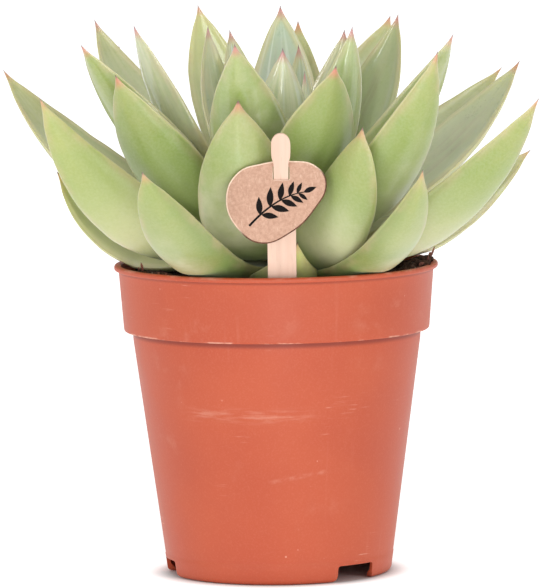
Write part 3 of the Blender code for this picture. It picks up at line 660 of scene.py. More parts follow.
def make_pot():
    floor = 7.6
    profile = [(0.0, floor), (20.0, floor), (body_r(floor) - 2.6, floor)]
    profile += arc(body_r(floor) - 2.6, floor + 1.6, 1.6, -90, -5, 5)
    profile += [(body_r(z) - WALL, z) for z in (16.0, 34.0, 52.0, 70.0, 86.0)]
    profile += [(body_r(87.6) - 0.95, 90.6), (body_r(87.6) - 0.5, 91.5), (collar_r(92.0) - WALL - 1.0, 91.9),
                (collar_r(93.0) - WALL - 0.2, 92.3), (collar_r(93.4) - WALL, 93.2), (collar_r(104.0) - WALL, 104.0)]
    profile += [(collar_r(113.0) - WALL, 114.0)]
    profile += arc(collar_r(113.2) - WALL + 0.7, 114.3, 0.7, 180, 90, 5)
    profile += arc(LIP_R - 0.75, 114.25, 0.75, 90, 0, 6)
    profile += arc(LIP_R - 0.6, 113.75, 0.6, 0, -90, 5)
    profile += [(COLLAR_TOP_R + 0.35, 113.12), (COLLAR_TOP_R + 0.08, 112.85), (collar_r(112.3), 112.3)]
    profile += [(collar_r(z), z) for z in (108.0, 102.0, 96.0)]
    profile += [(collar_r(91.6), 91.6), (COLLAR_LOW_R, 91.1), (COLLAR_LOW_R - 0.08, 90.8),
                (COLLAR_LOW_R - 0.30, 90.62), (COLLAR_LOW_R - 0.8, 90.62), (BODY_TOP_R + 0.5, 90.75),
                (BODY_TOP_R + 0.06, 90.55), (BODY_TOP_R - 0.04, 90.0), (BODY_TOP_R, 88.6), (body_r(87.0), 87.0)]
    profile += [(body_r(z), z) for z in (80.0, 66.0, 52.0, 38.0, 24.0, 12.0, 8.4)]
    profile += [(body_r(7.6) + 0.02, 7.6), (body_r(7.2) + 0.16, 7.2), (body_r(5.0) + 0.14, 5.0)]
    profile += arc(FOOT_R - 1.9, 2.2, 2.05, 0, -90, 8)[1:]
    profile += [(38.6, 0.15), (38.3, 0.5), (FOOT_R - WALL - 0.2, 3.2), (body_r(5.7) - WALL, 5.7),
                (body_r(6.5) - WALL - 0.8, 6.5), (20.0, 6.5), (0.0, 6.5)]
    pot = link_object("pot_blank", lathe("pot_blank", profile, 192))

    tools = []
    for n, az in enumerate((42.5, 162.0, -78.0)):
        # the gap between two feet, flared where it meets the standing edge
        top, w, flare = 6.2, 8.6, 2.4
        pts = [(-w, top - 1.3)]
        pts += [(-w + 1.0 - math.cos(math.radians(k)) * 1.0, top - 1.0 + math.sin(math.radians(k)) * 1.0)
                for k in (0, 30, 60, 90)]
        right = [(-x, y) for x, y in reversed(pts)]
        low = [(w, flare)] + [(w + flare * (1 - math.cos(math.radians(k))), flare * (1 - math.sin(math.radians(k))))
                              for k in (30, 60, 90)] + [(w + flare, -3.0)]
        outline = pts + right + low + [(-x, y) for x, y in reversed(low)]
        verts, k = [], len(outline)
        for depth in (-6.0, 8.0):
            verts += [(x, depth, y) for x, y in outline]
        faces = [list(range(k)), list(range(2 * k - 1, k - 1, -1))]
        faces += [[i, i + k, (i + 1) % k + k, (i + 1) % k] for i in range(k)]
        mesh = mesh_from("notch_tool", np.array(verts) * MM, faces, False)
        bm = bmesh.new()
        bm.from_mesh(mesh)
        bmesh.ops.recalc_face_normals(bm, faces=bm.faces)
        bm.to_mesh(mesh)
        bm.free()
        tool = link_object("notch_tool_%d" % n, mesh)
        t = math.radians(az)
        tool.location = (0.0406 * math.sin(t), -0.0406 * math.cos(t), 0.0)
        tool.rotation_euler = (0, 0, t)
        tools.append(tool)
    for n in range(6):
        bm = bmesh.new()
        bmesh.ops.create_cone(bm, cap_ends=True, segments=32, radius1=3.6 * MM, radius2=3.6 * MM, depth=6 * MM)
        mesh = bpy.data.meshes.new("drain")
        bm.to_mesh(mesh)
        bm.free()
        tool = link_object("drain_tool_%d" % n, mesh)
        t = math.tau * (n + 0.5) / 6
        tool.location = (0.031 * math.sin(t), -0.031 * math.cos(t), 0.00705)
        tools.append(tool)
    for tool in tools:
        mod = pot.modifiers.new("cut", "BOOLEAN")
        mod.object = tool
        mod.solver = "EXACT"
    mesh = evaluated_copy(pot, "fine_pot")
    drop(pot, *tools)
    mesh.shade_smooth()
    mesh.set_sharp_from_angle(angle=math.radians(32))
    obj = link_object("fine_pot", mesh, [pot_material()])
    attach(obj, "root")
    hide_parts("pot")
    return obj


def pot_material():
    m = Nodes("terracotta_plastic")
    xyz = m.split(m.coord)
    turn = m.math("ARCTAN2", xyz[0], m.math("MULTIPLY", xyz[1], -1.0))
    round_ = m.join(m.math("MULTIPLY", turn, 0.052), 0.0, xyz[2])         # metres around and up
    cloud = m.noise(28.0, 3.0, 0.5)
    colour = m.mix(m.step(cloud, 0.3, 0.7), POT_COLOURS["a"], POT_COLOURS["b"])
    grain = m.noise(1500.0, 3.0, 0.6)
    colour = m.mix(m.step(grain, 0.45, 0.75, 0.0, 0.10), colour, POT_COLOURS["dust"])
    # dusty scuffs: short level strokes, gathered in patches
    strokes = m.noise(1.0, 3.0, 0.6, m.scaled(60.0, 1.0, 900.0, round_))
    patch = m.noise(38.0, 2.0, 0.5, round_)
    scuff = m.math("MULTIPLY", m.step(strokes, 0.60, 0.75), m.step(patch, 0.55, 0.68))
    smear = m.math("MULTIPLY", m.step(m.noise(90.0, 4.0, 0.65, round_), 0.52, 0.72),
                   m.step(m.noise(17.0, 2.0, 0.5, m.scaled(1, 1, 1.4, round_)), 0.50, 0.66))
    upright = m.noise(1.0, 2.0, 0.5, m.scaled(420.0, 1.0, 14.0, round_))
    runs = m.math("MULTIPLY", m.step(upright, 0.58, 0.75), m.step(m.noise(24.0, 1.0, 0.5, round_), 0.5, 0.65))
    chalk = m.math("MULTIPLY", scuff, 0.55)
    chalk = m.math("MAXIMUM", chalk, m.math("MULTIPLY", smear, 0.13))
    chalk = m.math("MAXIMUM", chalk, m.math("MULTIPLY", runs, 0.06))
    # one long rubbed band on the left of the front and a slanting scrape below it
    band = m.math("MULTIPLY", m.step(xyz[2], 0.0595, 0.0632), m.step(xyz[2], 0.0636, 0.0675, 1.0, 0.0))
    band = m.math("MULTIPLY", band, m.math("MULTIPLY", m.step(turn, -0.85, -0.55), m.step(turn, 0.05, 0.38, 1.0, 0.0)))
    band = m.math("MULTIPLY", band, m.step(m.noise(1.0, 3.0, 0.6, m.scaled(90.0, 1.0, 800.0, round_)), 0.40, 0.68))
    chalk = m.math("MAXIMUM", chalk, m.math("MULTIPLY", band, 0.22))
    line = m.math("ADD", 0.0393, m.math("MULTIPLY", turn, 0.0082))
    scrape = m.step(m.math("ABSOLUTE", m.math("SUBTRACT", xyz[2], line)), 0.0002, 0.0012, 1.0, 0.0)
    scrape = m.math("MULTIPLY", scrape, m.math("MULTIPLY", m.step(turn, -0.12, 0.0), m.step(turn, 0.34, 0.42, 1.0, 0.0)))
    scrape = m.math("MULTIPLY", scrape, m.step(m.noise(400.0, 3.0, 0.6), 0.35, 0.65))
    chalk = m.math("MAXIMUM", chalk, m.math("MULTIPLY", scrape, 0.15))
    dots = m.step(m.voronoi(210.0), 0.05, 0.10, 1.0, 0.0)
    dots = m.math("MULTIPLY", dots, m.step(m.noise(70.0, 1.0, 0.5), 0.58, 0.64))
    chalk = m.math("MAXIMUM", chalk, m.math("MULTIPLY", dots, 0.5))
    # pale broken lines along the bead and the lower edge of the collar
    z = xyz[2]
    bead = m.math("MULTIPLY", m.step(z, 0.1140, 0.1149), m.step(m.noise(1.0, 3.0, 0.6, m.scaled(150.0, 1.0, 300.0, round_)), 0.48, 0.72))
    lower = m.math("MULTIPLY", m.step(z, 0.0904, 0.0906), m.step(z, 0.0909, 0.0914, 1.0, 0.0))
    lower = m.math("MULTIPLY", lower, m.step(m.noise(1.0, 3.0, 0.6, m.scaled(120.0, 1.0, 300.0, round_)), 0.46, 0.62))
    chalk = m.math("MAXIMUM", chalk, m.math("MULTIPLY", bead, 0.40))
    chalk = m.math("MAXIMUM", chalk, m.math("MULTIPLY", lower, 0.60))
    colour = m.mix(chalk, colour, POT_COLOURS["chalk"])
    # painted shade in the corners under the collar and under the bead
    under = m.math("MULTIPLY", m.step(z, 0.0880, 0.0897), m.step(z, 0.0903, 0.0907, 1.0, 0.0))
    groove = m.math("MULTIPLY", m.step(z, 0.1119, 0.1128), m.step(z, 0.1130, 0.1134, 1.0, 0.0))
    colour = m.mix(m.math("MULTIPLY", under, 0.75), colour, POT_COLOURS["painted_corner_shade"])
    colour = m.mix(m.math("MULTIPLY", groove, 0.50), colour, POT_COLOURS["painted_corner_shade"])
    rough = m.step(cloud, 0.3, 0.7, 0.42, 0.50)
    rough = m.math("ADD", rough, m.math("MULTIPLY", chalk, 0.3))
    m.set(Base_Color=colour, Roughness=rough)
    m.bsdf.inputs["Specular IOR Level"].default_value = 0.5
    m.bsdf.inputs["Subsurface Weight"].default_value = 0.06
    m.bsdf.inputs["Subsurface Radius"].default_value = (1.0, 0.3, 0.15)
    m.bsdf.inputs["Subsurface Scale"].default_value = 0.0015
    height = m.math("ADD", m.math("MULTIPLY", grain, 0.35), m.math("MULTIPLY", upright, 0.35))
    m.link(m.bump(height, 0.12, 0.0003), m.bsdf.inputs["Normal"])
    return m.mat


POT_COLOURS = {
    "a": srgb(186, 77, 43),
    "b": srgb(192, 84, 49),
    "painted_corner_shade": srgb(126, 42, 24),
    "dust": srgb(226, 150, 120),
    "chalk": srgb(236, 190, 168),
}


# ======================================================================= soil
def soil_material():
    m = Nodes("peat")
    fine = m.noise(1400.0, 4.0, 0.7)
    lumps = m.noise(260.0, 3.0, 0.6)
    colour = m.mix(m.step(lumps, 0.3, 0.7), srgb(44, 30, 26), srgb(84, 58, 46))
    colour = m.mix(m.step(fine, 0.55, 0.8, 0.0, 0.6), colour, srgb(120, 88, 68))
    bits = m.step(m.voronoi(700.0), 0.10, 0.22, 1.0, 0.0)
    bits = m.math("MULTIPLY", bits, m.step(m.noise(300.0, 1.0, 0.5), 0.60, 0.66))
    colour = m.mix(m.math("MULTIPLY", bits, 0.7), colour, srgb(186, 170, 150))
    m.set(Base_Color=colour, Roughness=0.95)
    m.bsdf.inputs["Specular IOR Level"].default_value = 0.25
    m.link(m.bump(m.math("ADD", fine, lumps), 0.8, 0.0010), m.bsdf.inputs["Normal"])
    return m.mat


# where the peat is heaped against the wall: direction, spread (degrees), height (mm)
HEAPS = ((84.0, 20.0, 4.4), (-56.0, 14.0, 2.6), (150.0, 24.0, 1.6), (-140.0, 20.0, 1.2))


def dry_material():
    m = Nodes("dry_leaf_bits")
    tone = m.noise(420.0, 3.0, 0.6)
    m.set(Base_Color=m.mix(m.step(tone, 0.3, 0.7), srgb(78, 42, 38), srgb(140, 88, 66)), Roughness=0.8)
    m.bsdf.inputs["Specular IOR Level"].default_value = 0.3
    return m.mat


def make_soil():
    mat = soil_material()
    # the lumpy top, the hidden side and the underside that shows in the drain holes
    rings, steps = 46, 150
    radius = collar_r(110.4) - WALL - 0.35
    verts, faces = [], []
    verts.append((0.0, 0.0, 111.4))
    for i in range(1, rings + 1):
        r = radius * (i / rings) ** 0.9
        for j in range(steps):
            t = 2 * math.pi * j / steps
            verts.append((r * math.sin(t), -r * math.cos(t), 0.0))
    p = np.array(verts)
    r = np.hypot(p[:, 0], p[:, 1])
    flat = np.stack([p[:, 0], p[:, 1], np.zeros(len(p))], 1)
    z = 111.2 - 0.9 * (r / radius) ** 2
    z += 0.55 * wobble(flat, 5, 17.0) + 0.40 * wobble(flat, 6, 6.0) + 0.22 * wobble(flat, 8, 2.6)
    z += smooth(r, radius - 5.0, radius) * 0.8
    turn = np.degrees(np.arctan2(p[:, 0], -p[:, 1]))
    for at, spread, high in HEAPS:
        away = (turn - at + 180.0) % 360.0 - 180.0
        z += high * np.exp(-(away / spread) ** 2) * smooth(r, radius - 13.0, radius - 2.0)
    p[:, 2] = z
    verts = [tuple(q) for q in p]
    for j in range(steps):
        faces.append((0, 1 + j, 1 + (j + 1) % steps))
    for i in range(rings - 1):
        for j in range(steps):
            a, b = 1 + i * steps + j, 1 + i * steps + (j + 1) % steps
            faces.append((a, a + steps, b + steps, b))
    ring = [1 + (rings - 1) * steps + j for j in range(steps)]
    side = [(collar_r(93.2) - WALL - 0.6, 93.6), (body_r(87.6) - WALL - 0.6, 91.2), (body_r(9.6) - WALL - 0.6, 9.6),
            (body_r(7.9) - WALL - 2.2, 7.9)]
    for rad, zz in side:
        new = []
        for j in range(steps):
            t = 2 * math.pi * j / steps
            new.append(len(verts))
            verts.append((rad * math.sin(t), -rad * math.cos(t), zz))
        for j in range(steps):
            k = (j + 1) % steps
            faces.append((ring[j], new[j], new[k], ring[k]))
        ring = new
    verts.append((0.0, 0.0, 7.9))
    for j in range(steps):
        faces.append((ring[j], len(verts) - 1, ring[(j + 1) % steps]))
    obj = link_object("fine_soil", mesh_from("fine_soil", np.array(verts) * MM, faces), [mat])
    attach(obj, "root")
    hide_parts("soil")

    # crumbs and bark bits lying on it
    r = np.random.RandomState(21)
    bm = bmesh.new()
    for n in range(620):
        rad = radius * math.sqrt(r.uniform(0.10, 0.985))
        t = r.uniform(0, 2 * math.pi)
        size = (0.5 + 1.5 * r.rand() ** 3) * MM
        x, y = rad * math.sin(t) * MM, -rad * math.cos(t) * MM
        base = (110.6 + 0.5 * r.rand()) * MM
        made = bmesh.ops.create_icosphere(bm, subdivisions=1, radius=size)["verts"]
        squash = Vector((r.uniform(0.7, 1.5), r.uniform(0.6, 1.1), r.uniform(0.5, 0.9)))
        spin = Matrix.Rotation(r.uniform(0, 6.28), 3, "Z") @ Matrix.Rotation(r.uniform(-0.6, 0.6), 3, "X")
        for v in made:
            w = Vector([c * k for c, k in zip(v.co, squash)]) * (1 + 0.35 * (r.rand() - 0.5))
            v.co = spin @ w + Vector((x, y, base))
    # coarser clods on the heaps
    for at, spread, high in HEAPS:
        for n in range(int(34 * high)):
            rad = r.uniform(radius - 9.0, radius + 0.4)
            t = math.radians(at + spread * 0.75 * r.randn())
            size = r.uniform(0.7, 1.9) * MM
            x, y = rad * math.sin(t) * MM, -rad * math.cos(t) * MM
            lift = math.exp(-((math.degrees(t) - at) / spread) ** 2)
            base = (111.4 + (high + 0.8 * r.rand()) * lift * float(smooth(np.array(rad), radius - 13.0, radius - 2.0))) * MM
            made = bmesh.ops.create_icosphere(bm, subdivisions=2, radius=size)["verts"]
            squash = Vector((r.uniform(0.8, 1.3), r.uniform(0.7, 1.1), r.uniform(0.6, 1.0)))
            for v in made:
                w = Vector([c * k for c, k in zip(v.co, squash)]) * (1 + 0.30 * (r.rand() - 0.5))
                v.co = w + Vector((x, y, base))
    mesh = bpy.data.meshes.new("crumbs")
    bm.to_mesh(mesh)
    bm.free()
    crumbs = link_object("soil_crumbs", mesh, [mat])
    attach(crumbs, "root")

    # shreds of dead leaf caught between the rim and the leaves
    bm = bmesh.new()
    for at, rad, high, length, lean in ((87.0, 58.2, 118.2, 2.6, 0.5), (80.0, 57.0, 116.6, 2.0, -0.7),
                                        (94.0, 57.4, 116.8, 1.8, 1.1), (72.0, 56.6, 115.4, 1.7, 1.4),
                                        (-60.0, 57.0, 116.6, 2.0, 0.3), (-64.0, 56.2, 115.6, 1.5, 1.2),
                                        (-50.0, 56.4, 114.6, 1.9, 1.3), (-45.0, 57.0, 114.6, 1.3, 0.9),
                                        (151.0, 56.4, 115.0, 2.2, 0.8), (-138.0, 56.0, 114.6, 2.0, 1.2)):
        t = math.radians(at)
        made = bmesh.ops.create_icosphere(bm, subdivisions=3, radius=1.0)["verts"]
        turn = Matrix.Rotation(t, 3, "Z") @ Matrix.Rotation(lean, 3, "Y") @ Matrix.Rotation(0.35, 3, "X")
        for v in made:
            k = v.co.copy()
            w = Vector((0.85 * k.x * (1.0 - 0.25 * k.z), 0.20 * k.y + 0.45 * k.x ** 2 + 0.25 * k.z ** 2, length * k.z))
            w = w * (1 + 0.10 * (r.rand() - 0.5))
            v.co = (turn @ w + Vector((rad * math.sin(t), -rad * math.cos(t), high))) * MM
    mesh = bpy.data.meshes.new("dry_bits")
    bm.to_mesh(mesh)
    bm.free()
    bits = link_object("dry_bits", mesh, [dry_material()])
    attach(bits, "root")
    return obj


def stem_material():
    m = Nodes("stem_skin")
    cloud = m.noise(200.0, 3.0, 0.6)
    colour = m.mix(m.step(cloud, 0.3, 0.7), srgb(120, 118, 70), srgb(158, 150, 104))
    m.set(Base_Color=colour, Roughness=0.7)
    m.link(m.bump(cloud, 0.4, 0.0006), m.bsdf.inputs["Normal"])
    return m.mat


# ============================================================== stick and card
STICK_AT = Vector((2.2, -54.8, 115.0))
STICK_LEAN = 15.0
TAG_AT = Vector((0.0, -65.2, 153.8))
TAG_TILT = 5.0


def plate(name, loops, thickness, location, tilt, round_=0.15, segments=2):
    """A flat outline with optional holes, extruded, its edges eased, stood upright."""
    curve = bpy.data.curves.new(name, "CURVE")
    curve.dimensions = "2D"
    curve.fill_mode = "BOTH"
    curve.extrude = (thickness / 2 - round_) * MM
    curve.bevel_depth = round_ * MM
    curve.bevel_resolution = segments
    curve.offset = -round_ * MM
    curve.resolution_u = 16
    for kind, points in loops:
        spline = curve.splines.new(kind)
        if kind == "POLY":
            spline.points.add(len(points) - 1)
            for point, (x, y) in zip(spline.points, points):
                point.co = (x * MM, y * MM, 0.0, 1.0)
        else:
            spline.bezier_points.add(len(points) - 1)
            for point, (x, y) in zip(spline.bezier_points, points):
                point.co = (x * MM, y * MM, 0.0)
                point.handle_left_type = point.handle_right_type = "AUTO"
        spline.use_cyclic_u = True
    guide = bpy.data.objects.new(name + "_guide", curve)
    bpy.context.scene.collection.objects.link(guide)
    guide.location = location * MM
    guide.rotation_euler = (math.radians(90.0 + tilt), 0.0, 0.0)
    mesh = evaluated_copy(guide, name)
    drop(guide)
    bm = bmesh.new()
    bm.from_mesh(mesh)
    bmesh.ops.remove_doubles(bm, verts=bm.verts, dist=0.000004)
    bmesh.ops.recalc_face_normals(bm, faces=bm.faces)
    bm.to_mesh(mesh)
    bm.free()
    mesh.shade_smooth()
    mesh.set_sharp_from_angle(angle=math.radians(40))
    mesh.materials.clear()
    return mesh


def stick_material():
    m = Nodes("birch")
    # grain runs along the stick, which is close to upright
    v = m.scaled(1.0, 1.0, 1.0, rotate=(math.radians(-STICK_LEAN), 0, 0))
    streak = m.noise(1.0, 4.0, 0.6, m.scaled(900.0, 900.0, 28.0, v), distortion=0.4)
    broad = m.noise(1.0, 2.0, 0.5, m.scaled(260.0, 260.0, 9.0, v))
    colour = m.mix(m.step(broad, 0.3, 0.7), srgb(234, 202, 182), srgb(224, 190, 170))
    colour = m.mix(m.step(streak, 0.45, 0.75, 0.0, 0.26), colour, srgb(218, 178, 153))
    pores = m.step(m.noise(1.0, 2.0, 0.5, m.scaled(2600.0, 2600.0, 160.0, v)), 0.62, 0.75)
    colour = m.mix(m.math("MULTIPLY", pores, 0.22), colour, srgb(176, 132, 108))
    m.set(Base_Color=colour, Roughness=0.62)
    m.bsdf.inputs["Subsurface Weight"].default_value = 0.08
    m.bsdf.inputs["Subsurface Radius"].default_value = (1.0, 0.7, 0.5)
    m.bsdf.inputs["Subsurface Scale"].default_value = 0.001
    m.link(m.bump(m.math("ADD", streak, pores), 0.25, 0.0003), m.bsdf.inputs["Normal"])
    return m.mat


def make_stick():
    half, neck, head = 5.2, 2.72, 3.48
    top, shoulder = 55.3, 34.0
    right = [(half - 1.2, -58.0), (half, -56.8), (half, shoulder - 2.2), (half - 0.15, shoulder - 1.2),
             (half - 0.7, shoulder - 0.35), (half - 1.5, shoulder), (neck + 0.6, shoulder + 0.25),
             (neck + 0.12, shoulder + 0.8), (neck, shoulder + 1.6), (neck - 0.02, 40.0), (neck, 43.6),
             (neck + 0.25, 44.8), (neck + 0.62, 46.0), (head - 0.02, 47.6), (head, 49.0), (head, top - 4.2)]
    for k in (14, 28, 42, 56, 70, 82):
        t = math.radians(k)
        right.append((head * math.cos(t) ** 0.92, top - 4.2 + 4.2 * math.sin(t)))
    outline = right + [(-x, y) for x, y in reversed(right)]
    mesh = plate("fine_stick", [("POLY", outline)], 1.0, STICK_AT, STICK_LEAN, 0.18)
    obj = link_object("fine_stick", mesh, [stick_material()])
    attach(obj, "root")
    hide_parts("tag_stick")
    return obj


def card_material():
    m = Nodes("kraft_board")
    xyz = m.coord
    mottle = m.noise(900.0, 4.0, 0.7)
    colour = m.mix(m.step(mottle, 0.30, 0.70), srgb(186, 145, 123), srgb(205, 165, 143))
    fibre = m.noise(1.0, 4.0, 0.6, m.scaled(1500.0, 1500.0, 420.0, rotate=(0, math.radians(38), 0)))
    fibre_b = m.noise(1.0, 4.0, 0.6, m.scaled(420.0, 1500.0, 1500.0, rotate=(0, math.radians(-20), 0)))
    colour = m.mix(m.step(fibre, 0.56, 0.74, 0.0, 0.40), colour, srgb(236, 206, 184))
    colour = m.mix(m.step(fibre_b, 0.58, 0.76, 0.0, 0.40), colour, srgb(182, 136, 112))
    m.set(Base_Color=colour, Roughness=0.85)
    m.bsdf.inputs["Specular IOR Level"].default_value = 0.3
    m.link(m.bump(m.math("ADD", fibre, fibre_b), 0.3, 0.0003), m.bsdf.inputs["Normal"])
    return m.mat


def card_edge_light_material():
    m = Nodes("kraft_cut_edge")
    # painted light and shade on the cut edge: pale toward the upper left, darker toward the lower right
    layers = m.noise(900.0, 3.0, 0.6)
    xyz = m.split(m.coord)
    slope = m.math("SUBTRACT", m.math("MULTIPLY", xyz[0], 0.75), m.math("SUBTRACT", xyz[2], 0.1445))
    clean = m.mix(m.step(layers, 0.3, 0.7), srgb(244, 218, 196), srgb(228, 196, 172))
    shaded_edge = m.mix(m.step(layers, 0.3, 0.7), srgb(84, 50, 36), srgb(118, 78, 58))
    m.set(Base_Color=m.mix(m.step(slope, -0.002, 0.006), clean, shaded_edge), Roughness=0.9)
    return m.mat


def ink_material():
    m = Nodes("print_ink")
    wear = m.noise(1300.0, 3.0, 0.6)
    m.set(Base_Color=m.mix(m.step(wear, 0.60, 0.80, 0.0, 0.35), srgb(18, 13, 12), srgb(70, 52, 44)), Roughness=0.75)
    m.bsdf.inputs["Specular IOR Level"].default_value = 0.15
    return m.mat


CARD_EDGE = [(-17.7, -9.5), (-13.5, 0.0), (-4.5, 3.3), (6.0, 4.1), (14.5, 2.4), (18.5, -3.5),
             (14.0, -13.4), (5.0, -21.8), (-5.5, -25.3), (-13.5, -20.1)]


def make_card():
    slot = 5.5 / 2 + 0.20
    hole = [(2.2 - slot, -2.2), (2.2 - slot + 0.5, -2.7), (2.2 + slot - 0.3, -2.7), (2.2 + slot + 0.1, -2.2),
            (2.2 + slot + 0.1, 1.6), (2.2 + slot - 0.3, 2.6), (2.2 - slot + 0.3, 2.6), (2.2 - slot, 2.1)]
    mesh = plate("fine_card", [("BEZIER", CARD_EDGE), ("POLY", hole)], 0.5, TAG_AT, -TAG_TILT, 0.17, 3)
    obj = link_object("fine_card", mesh, [card_material(), card_edge_light_material()])
    face = Vector((0.0, -math.cos(math.radians(TAG_TILT)), -math.sin(math.radians(TAG_TILT))))
    for poly in mesh.polygons:
        poly.material_index = 0 if abs(poly.normal.dot(face)) > 0.97 else 1
    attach(obj, "root")
    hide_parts("tag_badge")

    # the rounded cut edge, with painted light toward the upper left and painted shade toward the lower right
    curve = bpy.data.curves.new("card_rim", "CURVE")
    curve.dimensions = "3D"
    curve.bevel_depth = 0.30 * MM
    curve.bevel_resolution = 3
    curve.resolution_u = 16
    spline = curve.splines.new("BEZIER")
    spline.bezier_points.add(len(CARD_EDGE) - 1)
    for point, (x, y) in zip(spline.bezier_points, CARD_EDGE):
        point.co = (x * 0.990 * MM, (y * 0.990 - 0.1) * MM, 0.0)
        point.handle_left_type = point.handle_right_type = "AUTO"
    spline.use_cyclic_u = True
    guide = bpy.data.objects.new("rim_guide", curve)
    bpy.context.scene.collection.objects.link(guide)
    guide.location = (TAG_AT + face * 0.03) * MM
    guide.rotation_euler = (math.radians(90.0 - TAG_TILT), 0.0, 0.0)
    mesh = evaluated_copy(guide, "card_rim")
    drop(guide)
    mesh.materials.clear()
    mesh.shade_smooth()
    rim = link_object("card_rim", mesh, [card_edge_light_material()])
    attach(rim, "root")

    # a plain printed sprig: a curved stalk with paired pointed leaves
    shapes = []

    def blade(x, y, turn, length, width):
        t = math.radians(turn)
        pts = []
        n = 14
        for i in range(n + 1):
            f = i / n
            pts.append((f * length, width / 2 * math.sin(math.pi * f ** 0.85)))
        for i in range(n - 1, 0, -1):
            f = i / n
            pts.append((f * length, -width / 2 * math.sin(math.pi * f ** 0.85) * 0.85))
        shapes.append([(x + px * math.cos(t) - py * math.sin(t), y + px * math.sin(t) + py * math.cos(t))
                       for px, py in pts])

    def stalk(x0, y0, x1, y1, sag, w0, w1):
        n = 18
        left, right = [], []
        for i in range(n + 1):
            f = i / n
            x = x0 + (x1 - x0) * f
            y = y0 + (y1 - y0) * f + sag * 4 * f * (1 - f)
            w = (w0 + (w1 - w0) * f) / 2
            dx, dy = x1 - x0, (y1 - y0) + sag * 4 * (1 - 2 * f)
            k = math.hypot(dx, dy)
            left.append((x - dy / k * w, y + dx / k * w))
            right.append((x + dy / k * w, y - dx / k * w))
        shapes.append(left + right[::-1])

    stalk(-9.5, -19.0, 10.5, -7.0, 2.4, 0.85, 0.35)
    for f, big in ((0.20, 1.0), (0.38, 1.08), (0.56, 1.0), (0.73, 0.84), (0.87, 0.66)):
        x = -9.5 + 20.0 * f
        y = -19.0 + 12.0 * f + 2.4 * 4 * f * (1 - f)
        lean = math.degrees(math.atan2(12.0 + 2.4 * 4 * (1 - 2 * f), 20.0))
        blade(x, y, lean + 52, 6.6 * big, 2.5 * big)
        blade(x + 0.5, y, lean - 50, 6.2 * big, 2.4 * big)
    blade(10.3, -7.1, 22, 5.0, 2.0)
    ink = ink_material()
    bm = bmesh.new()
    for k, points in enumerate(shapes):
        curve = bpy.data.curves.new("printed_shape", "CURVE")
        curve.dimensions = "2D"
        curve.fill_mode = "BOTH"
        curve.extrude = 0.012 * MM
        spline = curve.splines.new("POLY")
        spline.points.add(len(points) - 1)
        for point, (x, y) in zip(spline.points, points):
            point.co = (x * MM, y * MM, 0.0, 1.0)
        spline.use_cyclic_u = True
        guide = bpy.data.objects.new("shape_guide", curve)
        bpy.context.scene.collection.objects.link(guide)
        guide.location = (TAG_AT + face * (0.25 + 0.016 + 0.0015 * (k % 2))) * MM
        guide.rotation_euler = (math.radians(90.0 - TAG_TILT), 0.0, 0.0)
        one = evaluated_copy(guide, "printed_shape")
        drop(guide)
        bm.from_mesh(one)
    mesh = bpy.data.meshes.new("printed_sprig")
    bm.to_mesh(mesh)
    bm.free()
    mesh.materials.clear()
    sprig = link_object("printed_sprig", mesh, [ink])
    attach(sprig, "root")
    return obj


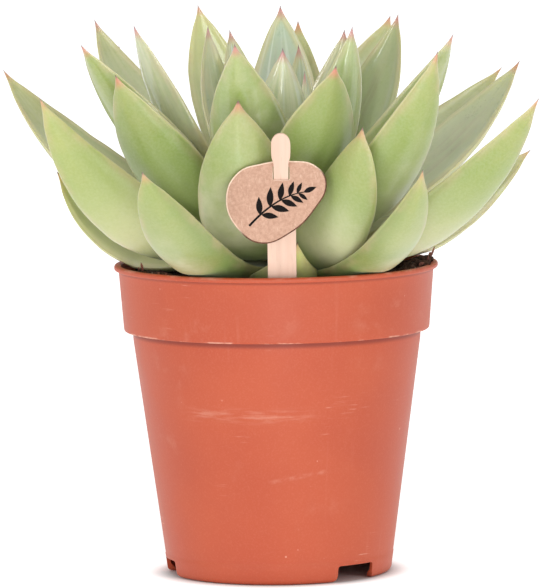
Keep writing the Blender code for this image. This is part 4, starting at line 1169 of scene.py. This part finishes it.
# ============================================================ light and ground
def make_stage():
    world = bpy.data.worlds.new("studio")
    world.use_nodes = True
    bpy.context.scene.world = world
    tree = world.node_tree
    back = tree.nodes["Background"]
    back.inputs["Color"].default_value = (1.0, 1.0, 1.0, 1.0)
    # the seamless backdrop is pure white in view, and lights the object more softly
    seen = tree.nodes.new("ShaderNodeLightPath").outputs["Is Camera Ray"]
    level = tree.nodes.new("ShaderNodeMapRange")
    level.inputs["To Min"].default_value = 0.52
    level.inputs["To Max"].default_value = 1.02
    tree.links.new(seen, level.inputs["Value"])
    tree.links.new(level.outputs["Result"], back.inputs["Strength"])

    def area(name, where, size, power, colour=(1, 1, 1)):
        light = bpy.data.lights.new(name, "AREA")
        light.shape = "RECTANGLE"
        light.size, light.size_y = size
        light.energy = power
        light.color = colour
        obj = bpy.data.objects.new(name, light)
        bpy.context.scene.collection.objects.link(obj)
        obj.location = where
        obj.rotation_euler = (Vector((0, 0, 0.12)) - Vector(where)).to_track_quat("-Z", "Y").to_euler()
        return obj

    area("top_strip", (0.0, -0.25, 1.15), (0.9, 0.22), 2.4, (0.97, 0.985, 1.0))
    area("left_strip", (-1.25, -1.35, 0.62), (0.20, 1.1), 6.5, (1.0, 0.995, 0.985))
    area("right_strip", (1.15, -1.45, 0.58), (0.20, 1.1), 6.5, (1.0, 0.99, 0.98))
    area("front_fill", (0.0, -2.4, 0.20), (1.7, 0.9), 8.6, (1.0, 0.99, 0.98))
    # a long narrow light lying on the table in front, for the sheen down the upright leaves
    low = area("low_strip", (0.02, -1.05, 0.004), (0.07, 1.4), 2.2, (0.94, 0.98, 1.0))
    low.rotation_euler = (math.pi, 0.0, 0.0)

    size = 6.0
    mesh = mesh_from("floor", [(-size, -size, 0), (size, -size, 0), (size, size, 0), (-size, size, 0)],
                     [(0, 1, 2, 3)], False)
    # painted light: the floor glows by its own emission, more strongly far from the object and just around its foot,
    # but not under it
    m = Nodes("glowing_floor")
    xyz = m.split(m.coord)
    away = m.math("SQRT", m.math("ADD", m.math("MULTIPLY", xyz[0], xyz[0]), m.math("MULTIPLY", xyz[1], xyz[1])))
    m.set(Base_Color=(0.82, 0.82, 0.82, 1.0), Roughness=0.9)
    m.bsdf.inputs["Specular IOR Level"].default_value = 0.1
    m.bsdf.inputs["Emission Color"].default_value = (1.0, 1.0, 1.0, 1.0)
    glow = m.math("MAXIMUM", m.step(away, 0.12, 1.2, 0.56, 0.80), m.step(away, 0.05, 0.13, 0.68, 0.56))
    glow = m.math("MULTIPLY", glow, m.step(away, 0.039, 0.050))
    m.link(glow, m.bsdf.inputs["Emission Strength"])
    floor = link_object("floor", mesh, [m.mat])
    bpy.context.scene.view_settings.view_transform = "Standard"


# ======================================================================= build
make_camera()
make_stage()
outer_leaf = leaf_material("succulent_leaf_outer", 0.20, 0.20)
inner_leaf = leaf_material("succulent_leaf_inner", 1.00, 0.07)
for index, leaf_row in enumerate(LEAVES):
    make_leaf(index + 1, leaf_row, outer_leaf if index < 22 else inner_leaf)
make_pot()
make_soil()
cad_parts["stem"].data.materials.clear()
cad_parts["stem"].data.materials.append(stem_material())
make_stick()
make_card()
